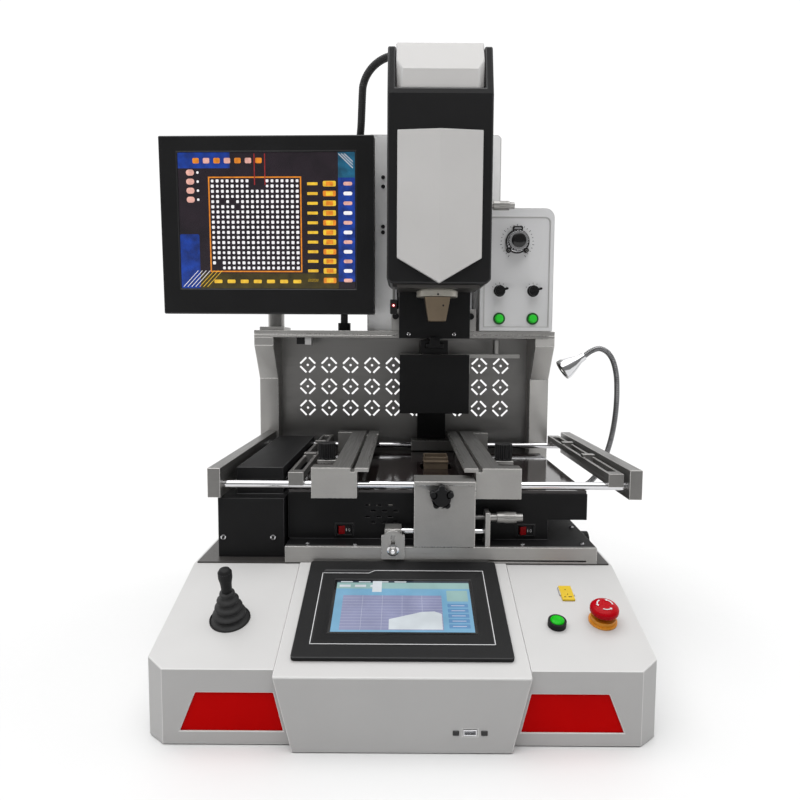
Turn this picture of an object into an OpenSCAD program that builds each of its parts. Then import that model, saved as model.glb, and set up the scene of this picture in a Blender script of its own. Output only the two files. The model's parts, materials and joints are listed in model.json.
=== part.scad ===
// Bench rework station for ball-grid chips: sloped base with a touch panel, infrared
// preheat tray, sliding board clamps, a vertical hot-air head, alignment optics that
// slide out on a rail, a monitor and a gooseneck lamp. Millimetres, +Z up, -Y is the front.
// The origin is on the flat underside, below the middle of the base.

/* [Base] */
// Width of the base
base_w = 520; // [500:1:560]
// Distance from the origin to the front of the wings
base_front = 280; // [270:1:300]
// Distance from the origin to the back of the base
base_back = 293; // [290:1:310]
// Height of the wings' front edge
wing_edge_h = 79; // [70:1:88]
// Height of the flat deck
deck_h = 130; // [120:1:140]
// Plan length of the sloped deck
deck_run = 168; // [166:1:172]
// Thickness of the folded sheet
sheet = 2; // [1.5:0.1:2.5]
// Width of the console between the wings
console_w = 256; // [246:1:266]
// Width of the console at the floor
console_foot_w = 218; // [200:1:232]
// How far the console stands in front of the wings
console_proud = 12.5; // [8:0.5:18]
// How far the console stands above the wings
console_step = 2.5; // [1.5:0.1:4]
// Seam between console and wings
seam = 0.5; // [0.3:0.1:1]
// Cut-back of the wing corners
corner_cut = 20; // [12:1:26]
// Thickness of the bottom pan
pan_t = 3; // [2:0.5:4]
// Thickness of the deck plate
deck_t = 2; // [1.5:0.5:3]
// Height of the coloured front panels
accent_h = 40; // [30:1:46]
// Height of the coloured panels above the floor
accent_z = 15; // [11:1:20]

/* [Touch panel] */
// Width of the touch panel's bezel
hmi_w = 226.5; // [215:0.5:230]
// Height of the touch panel's bezel along the slope
hmi_h = 163; // [150:0.5:166]
// Thickness of the bezel above the console
hmi_rim = 5; // [3:0.5:7]
// Width of the display
screen_w = 154; // [140:1:160]
// Height of the display
screen_h = 86; // [78:1:96]

/* [Deck controls] */
// Sideways place of the joystick
joystick_x = -190; // [-205:1:-175]
// Front-to-back place of the joystick
joystick_y = -209; // [-220:1:-195]
// Height of the joystick above the deck
joystick_h = 66; // [58:1:74]
// Diameter of the joystick boot
boot_d = 42; // [36:1:48]
// Sideways place of the start button
start_x = 168; // [155:1:178]
// Front-to-back place of the start button
start_y = -216; // [-225:1:-205]
// Diameter of the push buttons
button_d = 15; // [12:0.5:17]
// Travel of the push buttons
button_travel = 2.5; // [1.5:0.1:3]
// Sideways place of the emergency stop
estop_x = 220; // [212:1:226]
// Front-to-back place of the emergency stop
estop_y = -209; // [-216:1:-200]
// Diameter of the emergency stop's mushroom
estop_d = 31; // [26:1:36]
// Travel of the emergency stop
estop_travel = 4; // [3:0.5:5]

/* [Heaters and fan] */
// Left side of the heater tray
tray_left = -149; // [-150:1:-146]
// Right side of the heater tray's top
tray_right = 237; // [225:1:245]
// Front of the heater tray
tray_front = -77; // [-79:1:-70]
// Back of the heater tray
tray_back = 222; // [212:1:226]
// Height of the heater tray's top
tray_top = 216; // [212:1:218]
// Height of the plinth under the tray
plinth_h = 20; // [16:1:24]
// Width of the fan housing
fan_w = 84; // [80:1:86]
// Height of the fan duct's top
duct_top = 243; // [238:1:246]
// Diameter of the cross-flow rotor
rotor_d = 28; // [24:1:29]

/* [Board table] */
// Left side of the left end bar
bar_left = -243; // [-246:1:-241]
// Right side of the right end bar
bar_right = 296; // [292:1:300]
// Thickness of the end bars
bar_w = 16; // [12:1:18]
// Height of the end bars' top
bar_top = 249; // [247:1:252]
// Height of the end bars' underside
bar_bottom = 212; // [211:1:214]
// Diameter of the table's long rods
rod_d = 10; // [8:0.5:12]
// Height of the long rods
rod_z = 226; // [225:0.5:227]
// Front-to-back place of the front rod
rod_front = -92; // [-93:1:-91]
// Front-to-back place of the rear rod
rod_rear = 241; // [240:1:242]
// Fine sideways travel of the table each way
table_travel = 5; // [3:0.5:5]
// Width of a clamp block
clamp_w = 57; // [50:1:58]
// Depth of a clamp block along its rod
clamp_depth = 24; // [18:1:25]
// Sideways place of the gap's middle between the clamps
clamp_mid = 16; // [15:0.5:17]
// Half of the distance between the clamp jaws
clamp_gap = 59.5; // [56:0.5:62]
// Width of the adjusting plate
plate_w = 75; // [70:1:76]
// Left side of the adjusting plate
plate_left = 13; // [12:0.5:15]
// Diameter of the short guide rods
guide_d = 8; // [6:0.5:9]
// Height of the short guide rods
guide_z = 168; // [166:0.5:170]
// Height of the table micrometer
mic_z = 186; // [184:0.5:188]

/* [Frame] */
// Width of a post
post_w = 33; // [28:1:36]
// Height of the shelf's underside
shelf_z = 414; // [408:1:418]
// Thickness of the shelf
shelf_t = 12; // [10:0.5:14]
// Front of the shelf
shelf_front = 213; // [206:1:220]
// Pitch of the vent rosettes in the back panel
vent_pitch = 39; // [37:0.5:42]
// Number of vent rosettes across
vent_columns = 10; // [6:1:10]
// Number of vent rosettes down
vent_rows = 3; // [1:1:3]
// Half diagonal of a vent rosette
vent_r = 16; // [13:0.5:17]
// Width of a vent slot
vent_slot = 3.2; // [2:0.2:4]

/* [Column and control box] */
// Left side of the column
column_left = -65; // [-75:1:-55]
// Right side of the column
column_right = 164; // [158:1:172]
// Height of the column's top
column_top = 760; // [757:1:775]
// Front of the column
column_front = 243; // [240:1:247]
// Left side of the control box
box_left = 125; // [124:0.5:128]
// Right side of the control box
box_right = 248; // [240:1:256]
// Height of the control box's top
box_top = 629; // [615:1:640]
// Front of the control box
box_front = 198; // [192:1:204]

/* [Head] */
// Sideways place of the head's axis
head_x = 49; // [47:0.5:51]
// Front-to-back place of the head's axis
head_y = 93; // [90:0.5:96]
// Width of the head
head_w = 150; // [140:1:152]
// Front of the head
head_front = 43; // [38:1:48]
// Back of the head
head_back = 148; // [144:1:149]
// Height of the head's underside
head_bottom = 490; // [486:1:494]
// Height of the head's ears
head_top = 827; // [815:1:834]
// Diameter of the head's guide rods
post_rod_d = 12; // [10:0.5:14]
// Distance of the guide rods from the head's axis
post_rod_x = 62; // [60:0.5:63]
// Front-to-back place of the guide rods
post_rod_y = 215; // [213:0.5:217]
// Diameter of the hot-air nozzle's collar
nozzle_d = 38; // [32:1:42]
// Diameter of the hot-air nozzle's mouth
nozzle_mouth = 26; // [20:1:30]
// Height of the nozzle's tip
nozzle_tip = 438; // [434:1:442]

/* [Optics] */
// Width of the optics box
optics_w = 113; // [105:1:116]
// Height of the optics box's underside
optics_z = 291; // [286:1:296]
// Height of the optics box
optics_h = 96; // [90:1:98]
// Front of the optics box when it is in
optics_front = 154; // [152:1:157]
// Depth of the optics box
optics_depth = 98; // [90:1:99]

/* [Monitor] */
// Width of the monitor
monitor_w = 356; // [344:1:368]
// Height of the monitor
monitor_h = 290; // [278:1:302]
// Thickness of the monitor's front frame
monitor_t = 24; // [18:1:28]
// Width of the picture
picture_w = 294; // [284:1:306]
// Height of the picture
picture_h = 221; // [210:1:230]
// Sideways place of the monitor
monitor_x = -227; // [-229:0.5:-225]
// Height of the monitor's lower edge above the shelf
monitor_lift = 28; // [23:0.5:35]
// Forward tilt of the monitor
monitor_tilt = 2; // [0:0.5:4]
// Turn of the monitor on its post
monitor_turn = 2; // [1:0.5:4]

/* [Lamp] */
// Diameter of the gooseneck
neck_d = 9; // [7:0.5:10]
// Diameter of the lamp's mouth
lamp_d = 34; // [28:1:38]
// Length of the lamp's shade
lamp_l = 42; // [36:1:48]

/* [Fits] */
// Clearance between moving pieces
gap = 0.3; // [0.3:0.05:0.35]
// Radial running fit of rods in their bushes
fit = 0.05; // [0.03:0.01:0.08]

/* [Hidden] */
$fn = 48;

white = "whitesmoke";
black = [0.09, 0.09, 0.10];
grey = [0.62, 0.61, 0.60];
chrome = [0.86, 0.86, 0.88];
through = 1;
far = 400;

// Heights and places that several pieces share
floor_gap = 1;
half_w = base_w / 2;
slope = atan2(deck_h - wing_edge_h, deck_run);
deck_front = deck_run - base_front;
console_front = -base_front - console_proud;
deck_z = deck_h + deck_t;
shelf_top = shelf_z + shelf_t;
plinth_z = deck_z + plinth_h;

function slope_z(y, lift = 0) = wing_edge_h + lift + (y + base_front) * tan(slope);

// Side outline (Y, Z) pulled along X about the middle
module along_x(width) {
    rotate([90, 0, 90]) linear_extrude(width, center = true) children();
}

// Front outline (X, Z) pulled back from y0 to y1
module along_y(y0, y1) {
    translate([0, y1, 0]) rotate([90, 0, 0]) linear_extrude(y1 - y0) children();
}

// A box given by its low and high corners
module block(low, high) {
    translate(low) cube(high - low);
}

// A plate outline with rounded corners, about the middle
module rounded(w, h, r) {
    square([w - 2 * r, h], center = true);
    square([w, h - 2 * r], center = true);
    for (x = [-1, 1], y = [-1, 1]) translate([x * (w / 2 - r), y * (h / 2 - r)]) circle(r);
}

// A round bar along X or along Y
module bar_x(x0, x1, y, z, d) {
    translate([x0, y, z]) rotate([0, 90, 0]) cylinder(h = x1 - x0, d = d);
}
module bar_y(y0, y1, x, z, d) {
    translate([x, y0, z]) rotate([-90, 0, 0]) cylinder(h = y1 - y0, d = d);
}

// Both halves of a mirrored pair
module both_sides() {
    children();
    mirror([1, 0, 0]) children();
}

// Puts children on the sloped deck, Z along its normal
module on_deck(x, y, lift = 0) {
    translate([x, y, slope_z(y, lift)]) rotate([slope, 0, 0]) children();
}

// BASE

// Plan outline of the base with cut front corners, drawn in by a wall
module base_plan(wall) {
    x = half_w - wall;
    y = -base_front + wall;
    cut = corner_cut;
    depth = corner_cut * 0.85;
    polygon([
        [-x, base_back - wall], [-x, y + depth], [-x + cut, y],
        [x - cut, y], [x, y + depth], [x, base_back - wall]
    ]);
}

// Side outline of the base, drawn in by a wall
module base_side(wall, low) {
    drop = wall / cos(slope);
    front = -base_front + wall;
    top = deck_h - wall;
    knee = -base_front + (top + drop - wing_edge_h) / tan(slope);
    polygon([
        [front, low], [front, slope_z(front) - drop], [knee, top],
        [base_back - wall, top], [base_back - wall, low]
    ]);
}

// Front outline of the console, drawn in by a wall
module console_outline(wall, low, high) {
    foot = console_foot_w / 2 - wall;
    side = console_w / 2 - wall;
    polygon([
        [-foot, low], [foot, low], [side, wing_edge_h],
        [side, high], [-side, high], [-side, wing_edge_h]
    ]);
}

// Side outline of the console, drawn in by a wall
module console_side(wall, low) {
    drop = wall / cos(slope);
    front = console_front + wall;
    rear = deck_front - seam;
    polygon([
        [front, low], [front, slope_z(front, console_step) - drop],
        [rear, slope_z(rear, console_step) - drop], [rear, low]
    ]);
}

console_side_rake = (console_w - console_foot_w) / 2 / wing_edge_h;
accent_outer = half_w - corner_cut - 17;
accent_rake = 16;
accent_margin = 7;

// Trapezium of a coloured front panel on the right wing, grown by an edge
module accent_outline(edge) {
    inner_low = console_foot_w / 2 + accent_z * console_side_rake + accent_margin;
    inner_high = inner_low + accent_h * console_side_rake;
    polygon([
        [inner_low - edge, accent_z - edge], [accent_outer + edge, accent_z - edge],
        [accent_outer - accent_rake + edge, accent_z + accent_h + edge],
        [inner_high - edge, accent_z + accent_h + edge]
    ]);
}

accent_t = 1.5;
accent_edge = 3;
side_knob_y = 70;
side_knob_z = deck_h - 24;
side_knob_d = 34;
side_knob_l = 20;
shaft_d = 6;
button_hole = button_d + 3;
estop_hole = 22;
socket_x = 191;
socket_y = -161;
socket_w = 17;
socket_l = 15;
boot_hole = 30;
deck_drill = 40;
rear_slot_w = 5;
rear_slot_h = 60;
opening_side = 40;
opening_front = 30;

module base_shell() color(white) difference() {
    intersection() {
        along_x(base_w) base_side(0, floor_gap);
        linear_extrude(deck_h) base_plan(0);
    }
    intersection() {
        along_x(base_w) base_side(sheet, -through);
        translate([0, 0, -through]) linear_extrude(deck_h) base_plan(sheet);
    }
    // Bay of the console and the opening under the deck plate
    along_y(-base_front - through, deck_front + seam) console_outline(-seam, -through, deck_h + through);
    block([-half_w + opening_side, deck_front + opening_front, deck_h - 2 * sheet],
        [half_w - opening_side, base_back - opening_side, deck_h + through]);
    both_sides() along_y(-base_front - through, -base_front + sheet + through) accent_outline(0);
    on_deck(joystick_x, joystick_y) cylinder(h = deck_drill, d = boot_hole, center = true);
    on_deck(start_x, start_y) cylinder(h = deck_drill, d = button_hole, center = true);
    on_deck(estop_x, estop_y) cylinder(h = deck_drill, d = estop_hole, center = true);
    on_deck(socket_x, socket_y) cube([socket_w + seam, socket_l + seam, deck_drill], center = true);
    bar_x(half_w - 10, half_w + 10, side_knob_y, side_knob_z, shaft_d + 2 * fit);
    // Air slots of the back wall
    for (i = [-6:6]) {
        translate([i * 3 * rear_slot_w, base_back, deck_h / 2]) {
            cube([rear_slot_w, 4 * sheet, rear_slot_h], center = true);
        }
    }
}

module console_shell() color(white) difference() {
    intersection() {
        along_x(console_w) console_side(0, floor_gap);
        along_y(console_front - through, deck_front) console_outline(0, 0, far);
    }
    intersection() {
        along_x(console_w) console_side(sheet, -through);
        along_y(console_front - through, deck_front + through) console_outline(sheet, -2 * through, far);
    }
    block([-console_w / 2 + sheet, deck_front - seam - sheet, -through],
        [console_w / 2 - sheet, deck_front + through, deck_h - 4 * sheet]);
    on_deck(0, hmi_y, console_step) cube([hmi_body_w + 2 * seam, hmi_body_h + 2 * seam, 20], center = true);
    // Slot of the data port
    block([port_x - port_w / 2, console_front - through, port_z - port_h / 2],
        [port_x + port_w / 2, console_front + sheet + through, port_z + port_h / 2]);
}

module bottom_pan() color("dimgray") difference() {
    inset = sheet + gap;
    foot = console_foot_w / 2 - inset - pan_t * console_side_rake;
    union() {
        linear_extrude(pan_t) base_plan(inset);
        block([-foot, console_front + inset, 0], [foot, -base_front + inset + through, pan_t]);
    }
    // Grooves for the side walls of the console
    along_y(-far, deck_front + gap) difference() {
        console_outline(-gap, -through, far);
        console_outline(inset, -2 * through, far);
    }
}

module accent_panels() color("red") both_sides() {
    along_y(-base_front + sheet, -base_front + sheet + accent_t) accent_outline(accent_edge);
}

// TOUCH PANEL

hmi_y = deck_front - 4 - hmi_h / 2 * cos(slope);
hmi_body_w = hmi_w - 12;
hmi_body_h = hmi_h - 12;
hmi_body_t = 32;
hmi_corner = 4;
hmi_border = [36, 40];
glass_t = 1.2;
glass_edge = 3;

module hmi_unit() color(black) on_deck(0, hmi_y, console_step) difference() {
    union() {
        linear_extrude(hmi_rim) rounded(hmi_w, hmi_h, hmi_corner);
        translate([-hmi_body_w / 2, -hmi_body_h / 2, -hmi_body_t]) {
            cube([hmi_body_w, hmi_body_h, hmi_body_t + 1]);
        }
    }
    // Seat of the glass, and the lowered border round it
    translate([0, 0, hmi_rim - 1 - glass_t]) {
        linear_extrude(hmi_rim) {
            square([screen_w + 2 * glass_edge, screen_h + 2 * glass_edge], center = true);
        }
    }
    translate([0, 0, hmi_rim - 1]) {
        linear_extrude(hmi_rim) rounded(screen_w + hmi_border[0], screen_h + hmi_border[1], hmi_corner);
    }
}

module hmi_screen() color("lightskyblue") on_deck(0, hmi_y, console_step) {
    translate([0, 0, hmi_rim - 1 - glass_t]) linear_extrude(glass_t) {
        square([screen_w + 2 * glass_edge - 2 * gap, screen_h + 2 * glass_edge - 2 * gap], center = true);
    }
}

// DECK, FAN AND HEATERS

deck_margin = 4;
deck_lip = 2;
strip_left = tray_left + 2;
strip_right = tray_right + 4;
strip_t = 6;
strip_back = deck_front + strip_t;
strip_foot = 22;
strip_slit = [106, 228];

module deck_plate() color(black) difference() {
    side = half_w - opening_side - deck_lip;
    block([-half_w + deck_margin, deck_front + seam, deck_h],
        [half_w - deck_margin, base_back - deck_margin, deck_z]);
    block([-side, deck_front + opening_front + deck_lip, deck_h - through],
        [side, base_back - opening_side - deck_lip, deck_z + through]);
}

module front_strip() color(grey) difference() {
    union() {
        block([strip_left, deck_front, deck_z], [strip_right, strip_back, plinth_z]);
        block([strip_left, deck_front, deck_z], [strip_right, deck_front + strip_foot, deck_z + sheet]);
    }
    block([strip_slit[0], deck_front - through, deck_z + sheet],
        [strip_slit[1], strip_back + through, deck_z + 2 * sheet]);
}

post_back = base_back - deck_margin;
post_depth = 35;
post_front = post_back - post_depth;
fan_right = tray_left - 2;
fan_left = fan_right - fan_w;
fan_front = rod_front;
fan_back = post_front - 2;
fan_top = bar_bottom - 4;
duct_left = bar_left + bar_w + table_travel + 5;
duct_right = fan_right - 5;
duct_front = tray_front + 9;
duct_back = rod_rear - rod_d / 2 - 8;
duct_end = 8;
duct_roof = 3;
rotor_room = 2;
rotor_x = (duct_left + duct_right) / 2;
rotor_z = duct_top - duct_roof - rotor_room - rotor_d / 2;
rotor_shaft = 5;
shaft_end = 2;
outlet_h = 8;

module fan_housing() color(black) difference() {
    union() {
        block([fan_left, fan_front, deck_z], [fan_right, fan_back, fan_top]);
        block([duct_left, duct_front, fan_top - through], [duct_right, duct_back, duct_top]);
    }
    block([fan_left + sheet, fan_front + sheet, deck_z - through],
        [fan_right - sheet, fan_back - sheet, fan_top - sheet]);
    bar_y(duct_front + duct_end, duct_back - duct_end, rotor_x, rotor_z, rotor_d + 2 * rotor_room);
    bar_y(duct_front + shaft_end, duct_back - shaft_end, rotor_x, rotor_z, rotor_shaft + 2 * fit);
    // Air outlet towards the board and inlet on the far side
    block([rotor_x, duct_front + 2 * duct_end, rotor_z + 1],
        [duct_right + through, duct_back - 2 * duct_end, rotor_z + outlet_h]);
    block([duct_left - through, duct_front + 2 * duct_end, rotor_z - outlet_h],
        [rotor_x, duct_back - 2 * duct_end, rotor_z]);
}

rotor_blades = 18;
blade_t = 1;
blade_l = 6;
blade_set = 35;
rotor_disc = 2;

module fan_rotor() color("silver") translate([rotor_x, 0, rotor_z]) rotate([-90, 0, 0]) {
    y0 = duct_front + duct_end + rotor_room;
    y1 = duct_back - duct_end - rotor_room;
    translate([0, 0, duct_front + shaft_end + 1]) {
        cylinder(h = duct_back - duct_front - 2 * shaft_end - 2, d = rotor_shaft);
    }
    for (y = [y0, (y0 + y1 - rotor_disc) / 2, y1 - rotor_disc]) {
        translate([0, 0, y]) cylinder(h = rotor_disc, d = rotor_d);
    }
    for (i = [0:rotor_blades - 1]) rotate([0, 0, i * 360 / rotor_blades]) {
        translate([rotor_d / 2 - blade_l / 2 - 0.4, 0, y0]) rotate([0, 0, blade_set]) {
            translate([-blade_l / 2, -blade_t / 2, 0]) cube([blade_l, blade_t, y1 - y0]);
        }
    }
}

tray_step_z = plinth_z + 26;
tray_lower_right = tray_right - 50;
tongue_back = 60;
plinth_front = strip_back + gap;
plinth_low = deck_z + sheet + gap;
plate_glass = 4;
tray_rim = tray_top - plate_glass;
rocker_x = [-76, 158];
rocker_z = plinth_z + 12;
rocker_half = 8;
rocker_h = 11;
rocker_room = 1.3;
bezel_w = 24;
bezel_h = 17;
bezel_t = 1.5;
vent_dash = [6, 1.6];
dash_pitch = [14.5, 7.5];
dash_first = [-46, 18];

module heater_tray() color(black) difference() {
    union() {
        block([strip_left, plinth_front, plinth_low], [tray_lower_right, tray_back, plinth_z]);
        block([tray_lower_right - through, plinth_front, plinth_low], [strip_right, tongue_back, plinth_z]);
        block([tray_left, tray_front, plinth_z], [tray_lower_right, tray_back, tray_step_z]);
        block([tray_left, tray_front, tray_step_z], [tray_right, tray_back, tray_rim]);
        for (x = rocker_x) {
            translate([x, tray_front, rocker_z]) cube([bezel_w, 2 * bezel_t, bezel_h], center = true);
        }
    }
    // Hollow plinth, open below, and the two levels of the tray, open above
    block([strip_left + sheet, plinth_front + sheet, deck_z],
        [tray_lower_right - sheet, tray_back - sheet, plinth_z - sheet]);
    block([tray_lower_right - 2 * sheet, plinth_front + sheet, deck_z],
        [strip_right - sheet, tongue_back - sheet, plinth_z - sheet]);
    block([tray_left + sheet, tray_front + sheet, plinth_z + sheet],
        [tray_lower_right - sheet, tray_back - sheet, tray_top]);
    block([tray_left + sheet, tray_front + sheet, tray_step_z + sheet],
        [tray_right - sheet, tray_back - sheet, tray_top]);
    for (x = rocker_x) translate([x, tray_front, rocker_z]) {
        cube([2 * (rocker_half + rocker_room), 20, rocker_h + 2 * gap], center = true);
    }
    // Staggered vent dashes of the front panel
    for (i = [0:2], j = [0:3]) {
        x = dash_first[0] + (i + (j % 2) / 2) * dash_pitch[0];
        translate([x, tray_front, tray_step_z + dash_first[1] - j * dash_pitch[1]]) {
            cube([vent_dash[0], 4 * sheet, vent_dash[1]], center = true);
        }
    }
}

// Centre of the bottom nozzle's opening
nozzle_hole = 46;
lower_w = 36;
lower_wall = 1.5;
lower_top = tray_top + 17;
lower_lip = 3;
lower_neck = tray_rim - 16;

module heater_glass() color([0.12, 0.07, 0.07]) difference() {
    block([tray_left + 1, tray_front + 1, tray_rim], [tray_right - 1, tray_back - 1, tray_top]);
    translate([head_x, head_y, tray_top]) cube([nozzle_hole, nozzle_hole, 4 * plate_glass], center = true);
}

module lower_nozzle() color("peru") translate([head_x, head_y, 0]) difference() {
    union() {
        translate([0, 0, plinth_z + sheet]) cylinder(h = lower_neck + sheet - plinth_z, d = lower_w + 6);
        translate([0, 0, lower_neck]) linear_extrude(lower_top - lower_neck) square(lower_w, center = true);
        translate([0, 0, lower_top - 3 * lower_lip]) {
            linear_extrude(lower_lip) square(lower_w + 2, center = true);
        }
    }
    translate([0, 0, plinth_z + 3 * sheet]) {
        linear_extrude(lower_top) square(lower_w - 2 * lower_wall, center = true);
    }
}

heater_d = 12;
heater_z = tray_rim - 14;
heater_pitch = 24;
heaters_left = [for (i = [0:5]) tray_left + 14 + i * heater_pitch];
heaters_right = [for (i = [0:4]) tray_right - 14 - i * heater_pitch];

module ir_heaters() color("ivory") for (x = concat(heaters_left, heaters_right)) {
    bar_y(tray_front + sheet + gap, tray_back - sheet - gap, x, heater_z, heater_d);
}

rocker_y = tray_front + 3;
rocker_rest = 8;

// A rocker that stands tipped to one side
module rocker(x) color("red") translate([x, rocker_y, rocker_z]) rotate([0, 0, rocker_rest]) {
    translate([0, 0, -rocker_h / 2]) linear_extrude(rocker_h) {
        polygon([
            [-rocker_half, -6], [0, -4.6], [rocker_half, -6],
            [rocker_half, 2], [0, 4], [-rocker_half, 2]
        ]);
    }
}
module rocker_left() rocker(rocker_x[0]);
module rocker_right() rocker(rocker_x[1]);

// BOARD TABLE

bar_front = rod_front - 16;
bar_back = rod_rear + 12;
rod_seat = 10;
plate_right = plate_left + plate_w;
plate_t = 8;
plate_front = deck_front - 10;
plate_back = plate_front + plate_t;
plate_top = rod_z + 11;
plate_bottom = plinth_z + 3;
saddle_back = rod_front + 10;
guide_y = rod_front - 4;
rear_y = rod_rear + 17;
spindle_d = 6;
lip_t = 5;

// Front plate that carries the rods, with its lip, saddle and guide block
module adjust_plate() difference() {
    union() {
        block([plate_left, plate_front, plate_bottom], [plate_right, plate_back, plate_top]);
        block([plate_left, plate_back - through, rod_z - 9], [plate_right, saddle_back, plate_top]);
        block([plate_left, plate_front - 2, plate_top - lip_t], [plate_right, plate_back, plate_top]);
        block([plate_left + 6, plate_back - through, guide_z - 8], [plate_right, guide_y + 9, mic_z + 8]);
        bar_x(plate_right - 2, plate_right + 26, guide_y, mic_z, spindle_d);
    }
    bar_x(plate_left - through, plate_right + through, rod_front, rod_z, rod_d + 2 * fit);
    bar_x(plate_left - through, plate_right + through, guide_y, guide_z, guide_d + 2 * fit);
    bar_y(plate_front - 4, plate_back + 2, star_x, star_z, star_screw + 2 * gap);
}

// Rear carrier that rides on its own guide rod
module rear_carrier() difference() {
    union() {
        block([plate_left, rod_rear - 8, rod_z - 9], [plate_right, rear_y + 6, rod_z + 9]);
        block([plate_left, rear_y - 6, guide_z - 8], [plate_right, rear_y + 6, rod_z]);
    }
    bar_x(plate_left - through, plate_right + through, rod_rear, rod_z, rod_d + 2 * fit);
    bar_x(plate_left - through, plate_right + through, rear_y, guide_z, guide_d + 2 * fit);
}

module end_bar(x) difference() {
    block([x, bar_front, bar_bottom], [x + bar_w, bar_back, bar_top]);
    inner = x < head_x ? x + bar_w - rod_seat : x - through;
    for (y = [rod_front, rod_rear]) bar_x(inner, inner + rod_seat + through, y, rod_z, rod_d + 2 * fit);
    // Long relief in the underside
    block([x + 4, bar_front + 30, bar_bottom - through], [x + bar_w - 4, bar_back - 30, bar_bottom + 10]);
}

module table_frame() color(grey) {
    end_bar(bar_left);
    end_bar(bar_right - bar_w);
    adjust_plate();
    rear_carrier();
}

module table_rods() color(chrome) for (y = [rod_front, rod_rear]) {
    bar_x(bar_left + bar_w - rod_seat + 1, bar_right - bar_w + rod_seat - 1, y, rod_z, rod_d);
}

jaw_w = 17.5;
jaw_slot = 5;
rail_w = 24;
plate_clamp_t = 5;
clamp_top = bar_top + 0.5;
clamp_bottom = bar_bottom - 1;
jaw_left = clamp_mid - clamp_gap - jaw_w;
rail_left = jaw_left - jaw_slot - rail_w;
clamp_right = jaw_left + 3;
clamp_left = clamp_right - clamp_w;
knob_tab = 24;
knob_tab_t = 5;
knob_x = rail_left - 16;
knob_y = -10;
knob_d = 24;
knob_h = 22;
tab_z = clamp_top - plate_clamp_t - knob_tab_t;
knob_post_d = 4;
board_groove = [3, 2];

// One board clamp: an end block on each rod and two slotted rails, on the left of the board
module clamp() difference() {
    union() {
        for (y = [rod_front, rod_rear]) {
            block([clamp_left, y - clamp_depth / 2, clamp_bottom],
                [clamp_right, y + clamp_depth / 2, clamp_top - plate_clamp_t]);
            block([clamp_left, y - clamp_depth / 2, clamp_top - plate_clamp_t - through],
                [rail_left + 1, y + clamp_depth / 2, clamp_top]);
        }
        for (x = [[rail_left, rail_w], [jaw_left, jaw_w]]) {
            block([x[0], rod_front - clamp_depth / 2, clamp_top - plate_clamp_t],
                [x[0] + x[1], rod_rear + clamp_depth / 2, clamp_top]);
        }
        block([knob_x - knob_tab / 2, knob_y - knob_tab / 2, tab_z],
            [rail_left + 8, knob_y + knob_tab / 2, tab_z + knob_tab_t]);
    }
    for (y = [rod_front, rod_rear]) {
        bar_x(clamp_left - through, clamp_right + through, y, rod_z, rod_d + 2 * fit);
    }
    // Groove for the board's edge along the jaw
    block([jaw_left + jaw_w - board_groove[0], rod_front + 30, clamp_top - board_groove[1]],
        [jaw_left + jaw_w + through, rod_rear - 30, clamp_top + through]);
    translate([knob_x, knob_y, tab_z - through]) {
        cylinder(h = knob_tab_t + 2 * through, d = knob_post_d + 2 * fit);
    }
}

// Fluted thumb knob that locks a clamp
module clamp_knob() translate([knob_x, knob_y, tab_z]) {
    cylinder(h = knob_tab_t + 1, d = knob_post_d);
    translate([0, 0, knob_tab_t + gap]) difference() {
        cylinder(h = knob_h, d = knob_d);
        for (i = [0:11]) rotate([0, 0, i * 30]) {
            translate([knob_d / 2 + 1, 0, 2]) cylinder(h = knob_h, d = 4);
        }
    }
}

// The right clamp is the left one seen in a mirror through the board's middle
module across_board() {
    translate([2 * clamp_mid, 0, 0]) mirror([1, 0, 0]) children();
}

module left_clamp() color(grey) clamp();
module right_clamp() color(grey) across_board() clamp();
module left_clamp_knob() color(black) clamp_knob();
module right_clamp_knob() color(black) across_board() clamp_knob();

aux_w = 19;
aux_top = bar_top - 6;
aux_left_x = clamp_left - 10 - aux_w;
aux_right_x = bar_right - bar_w - 3 - aux_w - 2;
aux_rail = 4;
aux_rail_h = 9;
aux_end = 18;
aux_pitch = 120;

// Spare support bar: a saddle on each rod and two thin rails with a slot between
module aux_bar(x) difference() {
    union() {
        for (y = [rod_front, rod_rear]) {
            block([x, y - aux_end / 2, rod_z + gap], [x + aux_w, y + aux_end / 2, aux_top]);
        }
        for (dx = [0, aux_w - aux_rail]) {
            block([x + dx, rod_front, aux_top - aux_rail_h], [x + dx + aux_rail, rod_rear, aux_top]);
        }
        for (y = [rod_front + aux_pitch, rod_front + 2 * aux_pitch]) {
            block([x + 1, y - 6, aux_top - aux_rail_h], [x + aux_w - 1, y + 6, aux_top + 4]);
        }
    }
    for (y = [rod_front, rod_rear]) {
        bar_x(x - through, x + aux_w + through, y, rod_z, rod_d + 2 * fit);
    }
}
module left_aux() color(grey) aux_bar(aux_left_x);
module right_aux() color(grey) aux_bar(aux_right_x);

star_x = plate_left + 33;
star_z = rod_z - 6;
star_d = 22;
star_lobes = 5;
star_t = 12;
star_neck = 5;
star_screw = 6;

module star_knob() color(black) translate([star_x, plate_front - gap, star_z]) rotate([90, 0, 0]) {
    translate([0, 0, -plate_t + 1]) cylinder(h = plate_t, d = star_screw);
    cylinder(h = star_neck, d = 12);
    translate([0, 0, star_neck - 1]) {
        cylinder(h = star_t, d = star_d);
        for (i = [0:star_lobes - 1]) rotate([0, 0, 90 + i * 360 / star_lobes]) {
            translate([star_d / 2, 0, 0]) cylinder(h = star_t, d = 8);
        }
    }
}

stop_x = [plate_left - 40, plate_left - 11];
stop_mid = (stop_x[0] + stop_x[1]) / 2;
stop_slot = 5;
mic_plate = [plate_right + 14, plate_right + 20];
barrel_d = 10;
barrel_end = mic_plate[1] + 26;
thimble_d = 14;
thimble_l = 24;
thimble_x = mic_plate[1] + 10;

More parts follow.
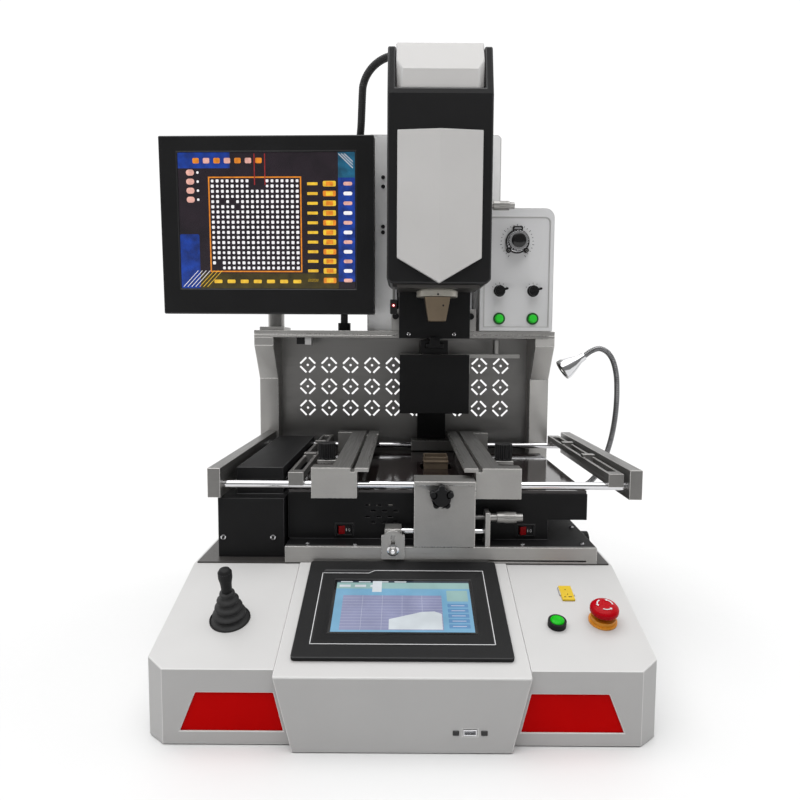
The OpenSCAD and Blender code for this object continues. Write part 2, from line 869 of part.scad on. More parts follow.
rod_foot = [9, 14, 36];
yoke_t = 14;
yoke_z = column_top - 16;
yoke_front = post_rod_y - 14;

// Brackets of the fine adjustment, front and rear, and the holders of the head's rods
module rod_brackets() color(grey) {
    // Stop bracket with its slotted plate
    difference() {
        union() {
            block([stop_x[0], deck_front - 6, deck_z + 6], [stop_x[1], deck_front, guide_z]);
            translate([stop_mid, deck_front, guide_z - 8]) {
                rotate([90, 0, 0]) cylinder(h = 6, d = stop_x[1] - stop_x[0]);
            }
            block([stop_x[0] + 4, deck_front - through, plinth_z],
                [stop_x[1] - 4, guide_y + 8, guide_z + 7]);
        }
        bar_x(stop_x[0] + 8, stop_x[1] + through, guide_y, guide_z, guide_d + 2 * fit);
        block([stop_mid - stop_slot / 2, deck_front - 20, plinth_z + 2],
            [stop_mid + stop_slot / 2, deck_front - 1, guide_z]);
    }
    // Micrometer bracket with the fixed barrel
    difference() {
        union() {
            block([mic_plate[0], strip_back - 4, plinth_z], [mic_plate[1], guide_y + 9, mic_z + 9]);
            bar_x(mic_plate[1] - through, barrel_end, guide_y, mic_z, barrel_d);
        }
        bar_x(mic_plate[0] - through, mic_plate[1] - 1, guide_y, guide_z, guide_d + 2 * fit);
        bar_x(mic_plate[0] - through, barrel_end - 2, guide_y, mic_z, spindle_d + 2 * fit);
    }
    for (x = [stop_x[0] + 10, mic_plate[0]]) difference() {
        block([x, rear_y - 9, deck_z], [x + 14, rear_y + 9, guide_z + 8]);
        bar_x(x - through, x + 14 + through, rear_y, guide_z, guide_d + 2 * fit);
    }
    for (side = [-1, 1]) translate([head_x + side * post_rod_x, post_rod_y, 0]) difference() {
        block([-rod_foot[0], -rod_foot[1], shelf_top], [rod_foot[0], rod_foot[1], shelf_top + rod_foot[2]]);
        translate([0, 0, shelf_top + 4]) cylinder(h = far, d = post_rod_d + 2 * fit);
    }
    // Yoke that holds the rods and the lead screw at the top
    translate([head_x, 0, yoke_z]) difference() {
        block([-post_rod_x - 13, yoke_front, 0], [post_rod_x + 13, column_front, yoke_t]);
        for (side = [-1, 1]) translate([side * post_rod_x, post_rod_y, -through]) {
            cylinder(h = yoke_t + 2 * through, d = post_rod_d + 2 * fit);
        }
        translate([0, post_rod_y, -through]) cylinder(h = yoke_t + 2 * through, d = screw_d + 2 * fit);
    }
}

rod_top = column_top + 5;
screw_d = 14;

module guide_rods() color(chrome) {
    bar_x(stop_x[0] + 9, mic_plate[1] - 2, guide_y, guide_z, guide_d);
    bar_x(stop_x[0] + 10, mic_plate[0] + 14, rear_y, guide_z, guide_d);
    for (side = [-1, 1]) translate([head_x + side * post_rod_x, post_rod_y, shelf_top + 5]) {
        cylinder(h = rod_top - shelf_top - 5, d = post_rod_d);
    }
    // Lead screw of the head's lift
    translate([head_x, post_rod_y, shelf_top]) cylinder(h = rod_top - shelf_top, d = screw_d);
}

// FRAME, COLUMN AND CONTROL BOX

post_outer = half_w - deck_margin;
post_inner = post_outer - post_w;
post_wall = 2.5;
flare_h = 72;
flare_lip = 14;
panel_t = 2;
panel_front = post_back - 2 * panel_t;

module frame_posts() color(grey) both_sides() difference() {
    translate([(post_inner + post_outer) / 2, 0, 0]) along_x(post_w) polygon([
        [post_back, deck_z], [post_front, deck_z], [post_front, shelf_z - flare_h],
        [shelf_front, shelf_z - flare_lip], [shelf_front, shelf_z], [post_back, shelf_z]
    ]);
    block([post_inner + post_wall, post_front + post_wall, deck_z - through],
        [post_outer - post_wall, post_back - post_wall, shelf_z - post_wall]);
}

module shelf_plate() color(grey) difference() {
    block([-post_outer, shelf_front, shelf_z], [post_outer, post_back, shelf_top]);
    // Shadow groove along the front edge
    block([-post_outer - through, shelf_front - through, shelf_z + 4],
        [post_outer + through, shelf_front + 1, shelf_z + 6]);
}

vent_top = shelf_z - 49;

// One vent rosette: four slots round a small hole
module rosette() {
    slot_l = vent_r * sqrt(2) - 7;
    circle(d = vent_slot + 1);
    for (a = [45:90:315]) rotate(a) translate([vent_r / sqrt(2), 0]) {
        square([vent_slot, slot_l], center = true);
    }
}

module back_panel() color([0.72, 0.71, 0.70]) along_y(panel_front, panel_front + panel_t) difference() {
    translate([-post_inner, deck_z]) square([2 * post_inner, shelf_z - deck_z]);
    for (i = [0:vent_columns - 1], j = [0:vent_rows - 1]) {
        translate([(i - (vent_columns - 1) / 2) * vent_pitch, vent_top - j * vent_pitch]) rosette();
    }
}

air_pitch = 14;
air_drop = 90;
air_h = 60;
column_cut = 5;

module column_cover() color(white) difference() {
    along_y(column_front, post_back) polygon([
        [column_left, shelf_top], [column_right, shelf_top], [column_right, column_top - column_cut],
        [column_right - column_cut, column_top], [column_left + column_cut, column_top],
        [column_left, column_top - column_cut]
    ]);
    block([column_left + sheet, column_front + sheet, shelf_top - through],
        [column_right - sheet, post_back - sheet, column_top - column_cut]);
    // Air slots high in the back
    for (i = [-4:4]) {
        translate([(column_left + column_right) / 2 + i * air_pitch, post_back, column_top - air_drop]) {
            cube([5, 6 * sheet, air_h], center = true);
        }
    }
}

box_corner = 16;
box_wall = 2;
box_back = column_front;
panel_edge = 7.5;
panel_drop = 8;
panel_recess = 1.5;
panel_x = (box_left + box_right) / 2;
face_y = box_front + panel_recess;
dial_lift = 148;
selector_lift = 67;
button_lift = 21;
dial_z = shelf_top + dial_lift;
selector_z = shelf_top + selector_lift;
panel_button_z = shelf_top + button_lift;
panel_pair = 28;
dial_d = 32;
dial_disc = 39;
dial_t = 16;
selector_d = 16;
selector_t = 12;
panel_button_d = 14;
panel_ring = 20;
knob_shaft = 5;

// Outline of the control box with a round top right corner, drawn in by an edge
module box_outline(edge, drop = 0) {
    r = box_corner - edge;
    x0 = box_left + edge;
    x1 = box_right - edge;
    z0 = shelf_top + edge;
    z1 = box_top - edge - drop;
    translate([x0, z0]) square([x1 - x0, z1 - z0 - r]);
    translate([x0, z0]) square([x1 - x0 - r, z1 - z0]);
    translate([x1 - r, z1 - r]) circle(r);
}

module control_box() color(white) difference() {
    along_y(box_front, box_back) box_outline(0);
    along_y(box_front - through, face_y) box_outline(panel_edge, panel_drop);
    along_y(face_y + 2 * box_wall, box_back - box_wall) box_outline(box_wall);
    bar_y(face_y - through, face_y + 3 * box_wall, panel_x, dial_z, knob_shaft + 2 * fit);
    for (side = [-1, 1]) {
        x = panel_x + side * panel_pair;
        bar_y(face_y - through, face_y + 3 * box_wall, x, selector_z, knob_shaft + 2 * fit);
        bar_y(face_y - through, face_y + 3 * box_wall, x, panel_button_z, panel_button_d + 2 * gap);
    }
}

dial_flutes = 20;

// Fluted control knob with a shaft, pointing to the front
module panel_knob(x, z, d, t) color(black) translate([x, face_y, z]) rotate([90, 0, 0]) {
    translate([0, 0, -3 * box_wall]) cylinder(h = 3 * box_wall + 2, d = knob_shaft);
    translate([0, 0, 1 + gap]) difference() {
        union() {
            cylinder(h = 2, d = d + 3);
            cylinder(h = t, d = d);
        }
        for (i = [0:dial_flutes - 1]) rotate([0, 0, i * 360 / dial_flutes]) {
            translate([d / 2 + 0.5, 0, 4]) cylinder(h = t, d = d / 12);
        }
        translate([-0.6, d / 4, t - 1]) cube([1.2, d / 3, 4]);
    }
}
module dial_knob() panel_knob(panel_x, dial_z, dial_d, dial_t);
module selector_left() panel_knob(panel_x - panel_pair, selector_z, selector_d, selector_t);
module selector_right() panel_knob(panel_x + panel_pair, selector_z, selector_d, selector_t);

// Domed push button on a short stem, from z = -back to its crown
module push_button(d, crown, back) rotate_extrude() {
    polygon([
        [0, -back], [d / 2, -back], [d / 2, crown - 1.5],
        [d / 2 - 1.5, crown - 0.3], [d / 4, crown], [0, crown]
    ]);
}

module panel_button(side) color("limegreen") {
    translate([panel_x + side * panel_pair, face_y, panel_button_z]) rotate([90, 0, 0]) {
        push_button(panel_button_d, 5, 3);
    }
}
module green_button_left() panel_button(-1);
module green_button_right() panel_button(1);

// DECK CONTROLS

port_x = 67;
port_z = 22;
port_w = 14;
port_h = 7;
cup_d = 38;
cup_h = 14;
cup_z = -sheet - gap;
pivot_z = cup_z - cup_h / 2;
pin_d = 4;
gimbal_d = 26;
gimbal_bore = 17;
gimbal_t = 6;
estop_ring = 31;
estop_neck = 27;
estop_neck_h = 7;
estop_cap_z = estop_neck_h + estop_travel + 1;
start_collar = 7;
start_crown = start_collar + button_travel - 0.5;
estop_stem = 12;
lamp_x = 246;
lamp_y = 150;
lamp_foot_d = 24;
lamp_foot_h = 14;
gland_d = 22;
gland_h = 14;

module ring(h, outer, inner) difference() {
    cylinder(h = h, d = outer);
    translate([0, 0, -through]) cylinder(h = h + 2 * through, d = inner);
}

// Collars, sockets and glands that are pressed into the deck, the shelf and the control box
module deck_fittings() color("darkslategray") {
    on_deck(start_x, start_y) ring(start_collar, button_d + 5, button_d + 2 * gap);
    on_deck(estop_x, estop_y) {
        ring(2, estop_ring, estop_stem + 2 * gap);
        ring(estop_neck_h, estop_neck, estop_stem + 2 * gap);
    }
    on_deck(joystick_x, joystick_y) translate([0, 0, cup_z - cup_h]) difference() {
        ring(cup_h, cup_d, boot_hole);
        translate([0, 0, cup_h + pivot_z - cup_z]) rotate([0, 90, 0]) {
            cylinder(h = cup_d + 2, d = pin_d + 2 * fit, center = true);
        }
    }
    // Thermocouple socket with its two blades' slots
    on_deck(socket_x, socket_y) difference() {
        translate([0, 0, -6.5]) cube([socket_w, socket_l, 16], center = true);
        for (x = [-3.5, 3.5]) translate([x, 0, 2]) cube([1.4, 7, 8], center = true);
    }
    // Data port behind its slot
    difference() {
        block([port_x - port_w / 2 + gap, console_front, port_z - port_h / 2 + gap],
            [port_x + port_w / 2 - gap, console_front + 16, port_z + port_h / 2 - gap]);
        block([port_x - 5.5, console_front - through, port_z - 2],
            [port_x + 5.5, console_front + 9, port_z + 2]);
    }
    // Dial disc and button rings of the control box
    translate([panel_x, face_y, dial_z]) rotate([90, 0, 0]) ring(1, dial_disc, knob_shaft + 2 * gap);
    for (side = [-1, 1]) translate([panel_x + side * panel_pair, face_y, 0]) {
        translate([0, 0, panel_button_z]) rotate([90, 0, 0]) ring(2, panel_ring, panel_button_d + 2 * gap);
        translate([0, 0, selector_z]) rotate([90, 0, 0]) ring(1, panel_ring, knob_shaft + 2 * gap);
    }
    translate([lamp_x, lamp_y, deck_z]) ring(lamp_foot_h, lamp_foot_d, neck_d + 2 * gap);
    translate([hose_end[0], hose_end[1], shelf_top]) ring(gland_h, gland_d, hose_d + 2 * gap);
}

boot_top = 36;
boot_ribs = 4;
handle_d = 8;
grip_d = 15;

// Rubber bellows of the joystick: ribs that shrink towards the top
module joystick_boot() color(black) on_deck(joystick_x, joystick_y) rotate_extrude() {
    rib = (boot_top - 4) / boot_ribs;
    low = boot_d / 2 - 3;
    high = handle_d / 2 + 4;
    outer = [for (i = [0:boot_ribs - 1], k = [0:2]) let (r = low + (high - low) * i / (boot_ribs - 1))
        [r - (k == 0 ? 3 : k == 1 ? 0 : 1), 3 + (i + [0, 0.45, 0.8][k]) * rib]];
    inner = [[handle_d / 2 + 1, boot_top], [handle_d / 2 + 1, boot_top - 3], [low - 6, 0]];
    polygon(concat([[boot_d / 2, 0], [boot_d / 2, 2]], outer, inner));
}

module gimbal_ring() difference() {
    union() {
        cylinder(h = gimbal_t, d = gimbal_d, center = true);
        rotate([0, 90, 0]) cylinder(h = cup_d - 2, d = pin_d, center = true);
    }
    cylinder(h = 4 * gimbal_t, d = gimbal_bore, center = true);
    rotate([90, 0, 0]) cylinder(h = gimbal_d + 2, d = pin_d + 2 * fit, center = true);
}
module joystick_gimbal() color("silver") on_deck(joystick_x, joystick_y) {
    translate([0, 0, pivot_z]) gimbal_ring();
}

module joystick_handle() color(black) on_deck(joystick_x, joystick_y) {
    translate([0, 0, pivot_z]) {
        rotate([90, 0, 0]) cylinder(h = gimbal_d - 2, d = pin_d, center = true);
        translate([0, 0, -5]) cylinder(h = boot_top - pivot_z + 8, d = handle_d);
    }
    translate([0, 0, boot_top + 1]) rotate_extrude() {
        h = joystick_h - boot_top - 1;
        polygon([
            [0, 0], [handle_d / 2 + 1.5, 0], [handle_d / 2 + 2, h * 0.35], [grip_d / 2, h * 0.62],
            [grip_d / 2, h * 0.86], [grip_d / 2 - 2, h * 0.97], [grip_d / 4, h], [0, h]
        ]);
    }
}

module start_button() color("limegreen") on_deck(start_x, start_y) push_button(button_d, start_crown, 6);

module estop_button() color("red") on_deck(estop_x, estop_y) {
    translate([0, 0, -6]) cylinder(h = estop_cap_z + 8, d = estop_stem);
    translate([0, 0, estop_cap_z]) rotate_extrude() {
        r = estop_d / 2;
        polygon([[0, 0], [r - 2, 0], [r, 2], [r, 6], [r - 2, 8.5], [r * 0.55, 10.5], [0, 11]]);
    }
}

module side_knob() color(black) translate([half_w, side_knob_y, side_knob_z]) rotate([0, 90, 0]) {
    translate([0, 0, -10]) cylinder(h = 12, d = shaft_d);
    translate([0, 0, gap]) difference() {
        union() {
            cylinder(h = 5, d = side_knob_d);
            cylinder(h = side_knob_l, d = side_knob_d - 4);
        }
        for (i = [0:17]) rotate([0, 0, i * 20]) {
            translate([side_knob_d / 2 - 1.6, 0, 6]) cylinder(h = side_knob_l, d = 2.4);
        }
    }
}

// HEAD

head_left = head_x - head_w / 2;
head_right = head_x + head_w / 2;
cap_side = 12;
cap_drop = 64;
cap_rise = 8;
cap_fold = 27;
cap_lean = 22;
cap_inset = 7;
cap_facet = 8;
cap_w = head_w - 2 * cap_side;
cap_z = head_top - cap_drop;
cap_top = head_top + cap_rise;
rim = 9;
head_lean = 22;
head_cut = 6;
cover_t = 4;
cover_fold = 7;
cover_w = 121;
cover_drop = 60;
cover_point = 36;
cover_top = cap_z - cover_drop;
cover_shoulder = head_bottom + cover_point;
flange_d = 62;
flange_t = 16;
flange_low = 9;
flange_step = 8;
mount_w = 120;
mount_t = 5;
mount_inset = 12;
stem_d = 30;
stem_l = 10;
carriage_t = 10;
carriage_back = head_back + carriage_t;
bush_low = 88;
bush_high = 22;
bush_z = [column_top - bush_low, column_top - bush_high];
bush_w = 22;
bush_back = post_rod_y + 14;

// Shell with a rim that leans back between its two ears, open for the hood
module head_shell() color(black) difference() {
    intersection() {
        along_y(head_front, head_back) polygon([
            [head_left + head_cut, head_bottom], [head_right - head_cut, head_bottom],
            [head_right, head_bottom + head_cut], [head_right, head_top], [head_left, head_top],
            [head_left, head_bottom + head_cut]
        ]);
        translate([head_x, 0, 0]) along_x(head_w) polygon([
            [head_front, head_bottom], [head_front, cap_z - rim], [head_front + head_lean, head_top],
            [head_back, head_top], [head_back, head_bottom]
        ]);
    }
    block([head_x - cap_w / 2 - gap, head_front - through, cap_z],
        [head_x + cap_w / 2 + gap, head_back + through, head_top + through]);
}

// White hood with facets at its front corners and a top that leans back
module head_cap() color(white) translate([head_x, 0, 0]) intersection() {
    front = head_front + cap_inset;
    along_x(cap_w) polygon([
        [front, cap_z], [front, cap_z + cap_fold], [front + cap_lean, cap_top],
        [head_back - 1, cap_top], [head_back - 1, cap_z]
    ]);
    linear_extrude(cap_top) polygon([
        [-cap_w / 2 + cap_facet, front], [cap_w / 2 - cap_facet, front], [cap_w / 2, front + cap_facet],
        [cap_w / 2, head_back], [-cap_w / 2, head_back], [-cap_w / 2, front + cap_facet]
    ]);
}

// White front shield, folded along its middle, with a pointed lower edge
module head_cover() color(white) translate([head_x, 0, 0]) intersection() {
    along_y(head_front - cover_t - cover_fold, head_front) polygon([
        [-cover_w / 2, cover_top], [cover_w / 2, cover_top], [cover_w / 2, cover_shoulder],
        [0, head_bottom], [-cover_w / 2, cover_shoulder]
    ]);
    linear_extrude(head_top) polygon([
        [-cover_w / 2, head_front], [cover_w / 2, head_front], [cover_w / 2, head_front - cover_t],
        [0, head_front - cover_t - cover_fold], [-cover_w / 2, head_front - cover_t]
    ]);
}

mic_side = 17;
mic_lift = 124;
mic_y = head_y + mic_side;
head_mic_z = head_bottom + mic_lift;
head_barrel_l = 26;
hose_block = 24;

// Carriage on the guide rods, the nozzle's mount below and the fine-angle barrel at the side
module head_carriage() color(grey) {
    difference() {
        union() {
            block([head_left, head_back, bush_z[0] - 60], [head_right, carriage_back, bush_z[1] + 8]);
            for (side = [-1, 0, 1]) {
                x = head_x + side * post_rod_x;
                block([x - bush_w / 2, carriage_back - through, bush_z[0]],
                    [x + bush_w / 2, bush_back, bush_z[1]]);
            }
        }
        for (side = [-1, 1]) translate([head_x + side * post_rod_x, post_rod_y, 0]) {
            cylinder(h = 3 * far, d = post_rod_d + 2 * fit);
        }
        translate([head_x, post_rod_y, 0]) cylinder(h = 3 * far, d = screw_d + 2 * gap);
    }
    // Mount plate and stepped flange of the nozzle
    difference() {
        union() {
            block([head_x - mount_w / 2, head_front + mount_inset, head_bottom - mount_t],
                [head_x + mount_w / 2, head_back - mount_inset, head_bottom]);
            translate([head_x, head_y, head_bottom - flange_t]) {
                cylinder(h = flange_low, d = flange_d);
                cylinder(h = flange_t, d = flange_d - flange_step);
            }
        }
        translate([head_x, head_y, head_bottom - flange_t - through]) {
            cylinder(h = flange_t + 2 * through, d = stem_d + 2 * fit);
        }
    }
    bar_x(head_right, head_right + head_barrel_l, mic_y, head_mic_z, barrel_d);
    // Hose gland behind the head
    difference() {
        block([hose_start[0] - hose_block / 2, head_back, hose_start[2] - 22],
            [hose_start[0] + hose_block / 2, hose_start[1] + hose_block / 2, hose_start[2] - 2]);
        translate([hose_start[0], hose_start[1], hose_start[2] - 12]) {
            cylinder(h = far, d = hose_d + 2 * gap);
        }
    }
}

nozzle_wall = 2;
slice = 0.1;

// Square funnel between two heights
module funnel(low, high, z0, z1) hull() {
    translate([-low / 2, -low / 2, z0]) cube([low, low, slice]);
    translate([-high / 2, -high / 2, z1 - slice]) cube([high, high, slice]);
}

module nozzle() color("silver") translate([head_x, head_y, 0]) difference() {
    top = head_bottom - flange_t - gap;
    wide = nozzle_d - 2 * nozzle_wall;
    mouth = nozzle_mouth - 2 * nozzle_wall;
    union() {
        funnel(nozzle_mouth, nozzle_d, nozzle_tip, top);
        translate([0, 0, top - through]) cylinder(h = stem_l + through, d = stem_d);
    }
    funnel(mouth, wide, nozzle_tip - slice, top - 2 * nozzle_wall);
    translate([0, 0, top - 4 * nozzle_wall]) cylinder(h = far, d = stem_d - 4 * nozzle_wall);
}

// Knurled micrometer thimble over a barrel that reaches a given depth into it
module thimble(depth) rotate([0, 90, 0]) difference() {
    union() {
        cylinder(h = thimble_l, d = thimble_d);
        translate([0, 0, thimble_l - 1]) cylinder(h = 9, d = thimble_d - 4);
    }
    translate([0, 0, -through]) cylinder(h = depth + 1 + through, d = barrel_d + 2 * fit);
    for (i = [0:15]) rotate([0, 0, i * 22.5]) {
        translate([thimble_d / 2, 0, 9]) cylinder(h = thimble_l - 11, d = 1.2);
    }
}
module mic_thimble() color(chrome) {
    translate([thimble_x, guide_y, mic_z]) thimble(barrel_end - thimble_x);
}
module head_mic_thimble() color(chrome) {
    translate([head_right + 10, mic_y, head_mic_z]) thimble(head_barrel_l - 10);
}

// OPTICS

rail_y = [150, 284];
rail_web = 16;
rail_foot = 28;
rail_foot_h = 6;
rail_foot_z = shelf_z - 16;
slide_w = 44;
slide_y = [optics_front + 10, rail_y[1] - 2];
optics_top = optics_z + optics_h;
duct_w = 50;
duct_depth = 27;
duct_z = [rod_z + 10, optics_top - 8];
cover_plate_y = head_back + 22;
cover_plate_w = 116;
cover_foot = 45;
cover_plate_z = [shelf_z - 1, shelf_top + 64];
window_d = 62;

// Rail under the shelf, cable duct on the back panel and the cover in front of the lift
module optics_rail() color(black) {
    block([head_x - rail_web / 2, rail_y[0], rail_foot_z], [head_x + rail_web / 2, rail_y[1], shelf_z]);
    block([head_x - rail_foot / 2, rail_y[0], rail_foot_z],
        [head_x + rail_foot / 2, rail_y[1], rail_foot_z + rail_foot_h]);
    block([head_x - duct_w / 2, panel_front - duct_depth, duct_z[0]],
        [head_x + duct_w / 2, panel_front, duct_z[1]]);
    difference() {
        union() {
            block([head_x - cover_plate_w / 2, cover_plate_y, cover_plate_z[0]],
                [head_x + cover_plate_w / 2, cover_plate_y + sheet, cover_plate_z[1]]);
            block([head_x - cover_foot, cover_plate_y, shelf_top],
                [head_x + cover_foot, post_rod_y + 12, shelf_top + sheet]);
        }
        translate([head_x, post_rod_y, shelf_top - through]) cylinder(h = 10, d = screw_d + 6);
    }
}

arm_l = 92;
arm_t = 7;
arm_w = 12;
arm_leg = 34;
arm_back = 62;
arm_roller = 52;

module optics_box() color(black) difference() {
    union() {
        block([head_x - optics_w / 2, optics_front, optics_z],
            [head_x + optics_w / 2, optics_front + optics_depth, optics_top]);
        block([head_x - slide_w / 2, slide_y[0], optics_top - through],
            [head_x + slide_w / 2, slide_y[1], shelf_z - 4]);
        // Pull arm at the right with its guide roller
        translate([head_x + optics_w / 2, optics_front + arm_back, optics_top]) {
            block([-through, 0, -arm_leg], [arm_t, arm_w, 0]);
            block([0, 0, -arm_t], [arm_l, arm_w, 0]);
            translate([arm_roller, arm_w / 2, -through]) {
                cylinder(h = shelf_z - 2 - optics_top, d = arm_w - 1);
            }
        }
    }
    // Slot that runs on the rail
    block([head_x - rail_foot / 2 - gap, 0, rail_foot_z - gap],
        [head_x + rail_foot / 2 + gap, far, rail_foot_z + rail_foot_h + gap]);
    block([head_x - rail_web / 2 - gap, 0, rail_foot_z], [head_x + rail_web / 2 + gap, far, shelf_z]);
    // Windows for the chip above and the board below
    translate([head_x, optics_front + optics_depth / 2, optics_z - through]) cylinder(h = 12, d = window_d);
    translate([head_x, optics_front + 32, optics_top - 11]) cylinder(h = 20, d = 40);
}

// MONITOR

stand_y = post_rod_y + 47;
hinge_y = stand_y - 16;
stand_plate = [42, 66, 6];
stand_back = 25;
tube_d = 28;
spigot_d = 20;
monitor_z = shelf_top + monitor_lift + monitor_h / 2;
neck_z = monitor_z - 37;
spigot_top = monitor_z - 12;
ear = [12, 18];
ear_d = 18;
pin_hinge = 8;
boss_d = 16;
screen_front = -47;

module monitor_stand() color(black) translate([monitor_x, stand_y, 0]) {
    translate([-stand_plate[0] / 2, -stand_plate[1] + stand_back, shelf_top]) cube(stand_plate);
    translate([0, 0, shelf_top]) cylinder(h = neck_z - shelf_top, d = tube_d);
    translate([0, 0, neck_z - 1]) cylinder(h = spigot_top - neck_z + 1, d = spigot_d);
}

// Turns the monitor's pieces on the post
module turned() {
    translate([monitor_x, stand_y, 0]) rotate([0, 0, -monitor_turn]) children();
}

module monitor_neck() color(black) turned() difference() {
    union() {
        translate([0, 0, neck_z + gap]) cylinder(h = spigot_top - neck_z + 8, d = tube_d + 4);
        for (side = [-1, 1]) {
            x0 = side < 0 ? -ear[1] : ear[0] + gap;
            x1 = side < 0 ? -ear[0] - gap : ear[1];
            bar_x(x0, x1, hinge_y - stand_y, monitor_z, ear_d);
            block([x0, hinge_y - stand_y, monitor_z - ear_d / 2], [x1, 2, monitor_z + ear_d / 2]);
        }
    }
    translate([0, 0, neck_z - through]) cylinder(h = spigot_top - neck_z + 2, d = spigot_d + 2 * fit);
    bar_x(-far, far, hinge_y - stand_y, monitor_z, pin_hinge + 2 * fit);
    // Room for the hinge boss between the ears
    bar_x(-ear[0] - gap, ear[0] + gap, hinge_y - stand_y, monitor_z, boss_d + 6);
}

// Tips the monitor's pieces about the hinge pin
module tilted() {
    turned() translate([0, hinge_y - stand_y, monitor_z]) rotate([monitor_tilt, 0, 0]) children();
}

bulge_w = 290;
bulge_h = 236;
bulge_t = 13;
picture_recess = 3;

module monitor_shell() color(black) tilted() {
    rim_back = screen_front + monitor_t;
    difference() {
        union() {
            block([-monitor_w / 2, screen_front, -monitor_h / 2], [monitor_w / 2, rim_back, monitor_h / 2]);
            intersection() {
                along_x(monitor_w) polygon([
                    [rim_back - 1, -bulge_h / 2], [rim_back + bulge_t, -bulge_h / 2 + 26],
                    [rim_back + bulge_t, bulge_h / 2 - 26], [rim_back - 1, bulge_h / 2]
                ]);
                linear_extrude(monitor_h, center = true) polygon([
                    [-bulge_w / 2, rim_back - 1], [bulge_w / 2, rim_back - 1],
                    [bulge_w / 2 - 26, rim_back + bulge_t], [-bulge_w / 2 + 26, rim_back + bulge_t]
                ]);
            }
            block([-ear[0], rim_back + bulge_t - 1, -boss_d / 2], [ear[0], 0, boss_d / 2]);
            bar_x(-ear[0], ear[0], 0, 0, boss_d);
            bar_x(-ear[1], ear[1], 0, 0, pin_hinge);
        }
        block([-picture_w / 2, screen_front - through, -picture_h / 2 + 8],
            [picture_w / 2, screen_front + picture_recess, picture_h / 2 + 8]);
    }
}

module monitor_screen() color("midnightblue") tilted() {
    block([-picture_w / 2 + gap, screen_front + picture_recess - glass_t, -picture_h / 2 + 8 + gap],
        [picture_w / 2 - gap, screen_front + picture_recess, picture_h / 2 + 8 - gap]);
}

// LAMP AND HOSE

// Sweeps a round tube along a list of points
function unit(v) = v / norm(v);
function heading(p, i) = unit(p[min(i + 1, len(p) - 1)] - p[max(i - 1, 0)]);
function ring_at(p, i, r, n, ref) = let (t = heading(p, i), u = unit(cross(ref, t)), v = cross(t, u))
    [for (k = [0:n - 1]) p[i] + r * (cos(k * 360 / n) * u + sin(k * 360 / n) * v)];

module tube(p, d, n, ref) {
    m = len(p);
    points = [for (i = [0:m - 1]) each ring_at(p, i, d / 2, n, ref)];
    walls = [for (i = [0:m - 2], k = [0:n - 1]) let (a = i * n, b = a + n, next = (k + 1) % n)
        [a + k, a + next, b + next, b + k]];
    low_cap = [[for (k = [n - 1:-1:0]) k]];
    high_cap = [[for (k = [0:n - 1]) (m - 1) * n + k]];
    faces = [for (f = concat(low_cap, high_cap, walls)) [for (k = [len(f) - 1:-1:0]) f[k]]];
    polyhedron(points, faces, convexity = 10);
}

neck_route = [
    [0, 1], [0, 14], [4, 26], [16, 34], [35, 38], [54, 45], [69, 60], [79, 80], [86, 100], [92, 124],
    [96, 150], [98, 176], [98, 202], [96, 226], [90, 247], [81, 260], [68, 266], [55, 262], [44, 254]
];
neck_points = [for (p = neck_route) [lamp_x + p[0], lamp_y, deck_z + p[1]]];
neck_ref = [0, 1, 0];

module gooseneck() color(chrome) tube(neck_points, neck_d, 12, neck_ref);

lamp_at = neck_points[len(neck_points) - 1];
lamp_lean = -124;
lamp_wall = 2;

module lamp_head() color(chrome) translate(lamp_at) rotate([0, lamp_lean, 0]) {
    r = lamp_d / 2;
    translate([0, 0, gap]) rotate_extrude() polygon([
        [0, 0], [neck_d / 2 + 2, 0], [neck_d / 2 + 3, 10], [r - 4, lamp_l * 0.55],
        [r, lamp_l - 6], [r, lamp_l], [r - lamp_wall, lamp_l],
        [r - lamp_wall, lamp_l - 2], [0, lamp_l - 2]
    ]);
}

hose_d = 13;
hose_start = [32, 185, 795];
hose_arc = 52;
hose_lean = 0.33;
hose_arc_points = [for (a = [0:15:180])
    hose_start + hose_arc * [cos(a) - 1, hose_lean * (1 - cos(a)), sin(a)]];
hose_drop = [
    [-75, 231, 770], [-79, 243, 740], [-83, 250, 705], [-88, 254, 665], [-93, 256, 625], [-98, 256, 585],
    [-102, 256, 545], [-105, 256, 505], [-106, 256, 465], [-106, 256, 427]
];
hose_points = concat([hose_start - [0, 0, 11]], hose_arc_points, hose_drop);
hose_end = hose_drop[len(hose_drop) - 1];
hose_ref = [0, 1, 0.2];

module hose() color(black) tube(hose_points, hose_d, 10, hose_ref);

bottom_pan();
base_shell();
console_shell();
accent_panels();
hmi_unit();
hmi_screen();
deck_plate();
front_strip();
fan_housing();
heater_tray();
heater_glass();
ir_heaters();
lower_nozzle();
rod_brackets();
guide_rods();
frame_posts();
shelf_plate();
back_panel();
column_cover();
control_box();
deck_fittings();
optics_rail();
monitor_stand();
gooseneck();
hose();
joystick_boot();
fan_rotor();
rocker_left();
rocker_right();
mic_thimble();
dial_knob();
selector_left();
selector_right();
green_button_left();
green_button_right();
optics_box();
monitor_neck();
monitor_shell();
monitor_screen();
lamp_head();
head_shell();
head_cap();
head_cover();
head_carriage();
nozzle();
head_mic_thimble();
table_frame();
table_rods();
star_knob();
left_clamp();
left_clamp_knob();
right_clamp();
right_clamp_knob();
left_aux();
right_aux();
joystick_gimbal();
joystick_handle();
start_button();
estop_button();
side_knob();
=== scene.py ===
"""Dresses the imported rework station: finishes, lit displays, hose, gooseneck, screws and small fittings."""
import json
import math

import bmesh
import bpy
from mathutils import Matrix, Vector


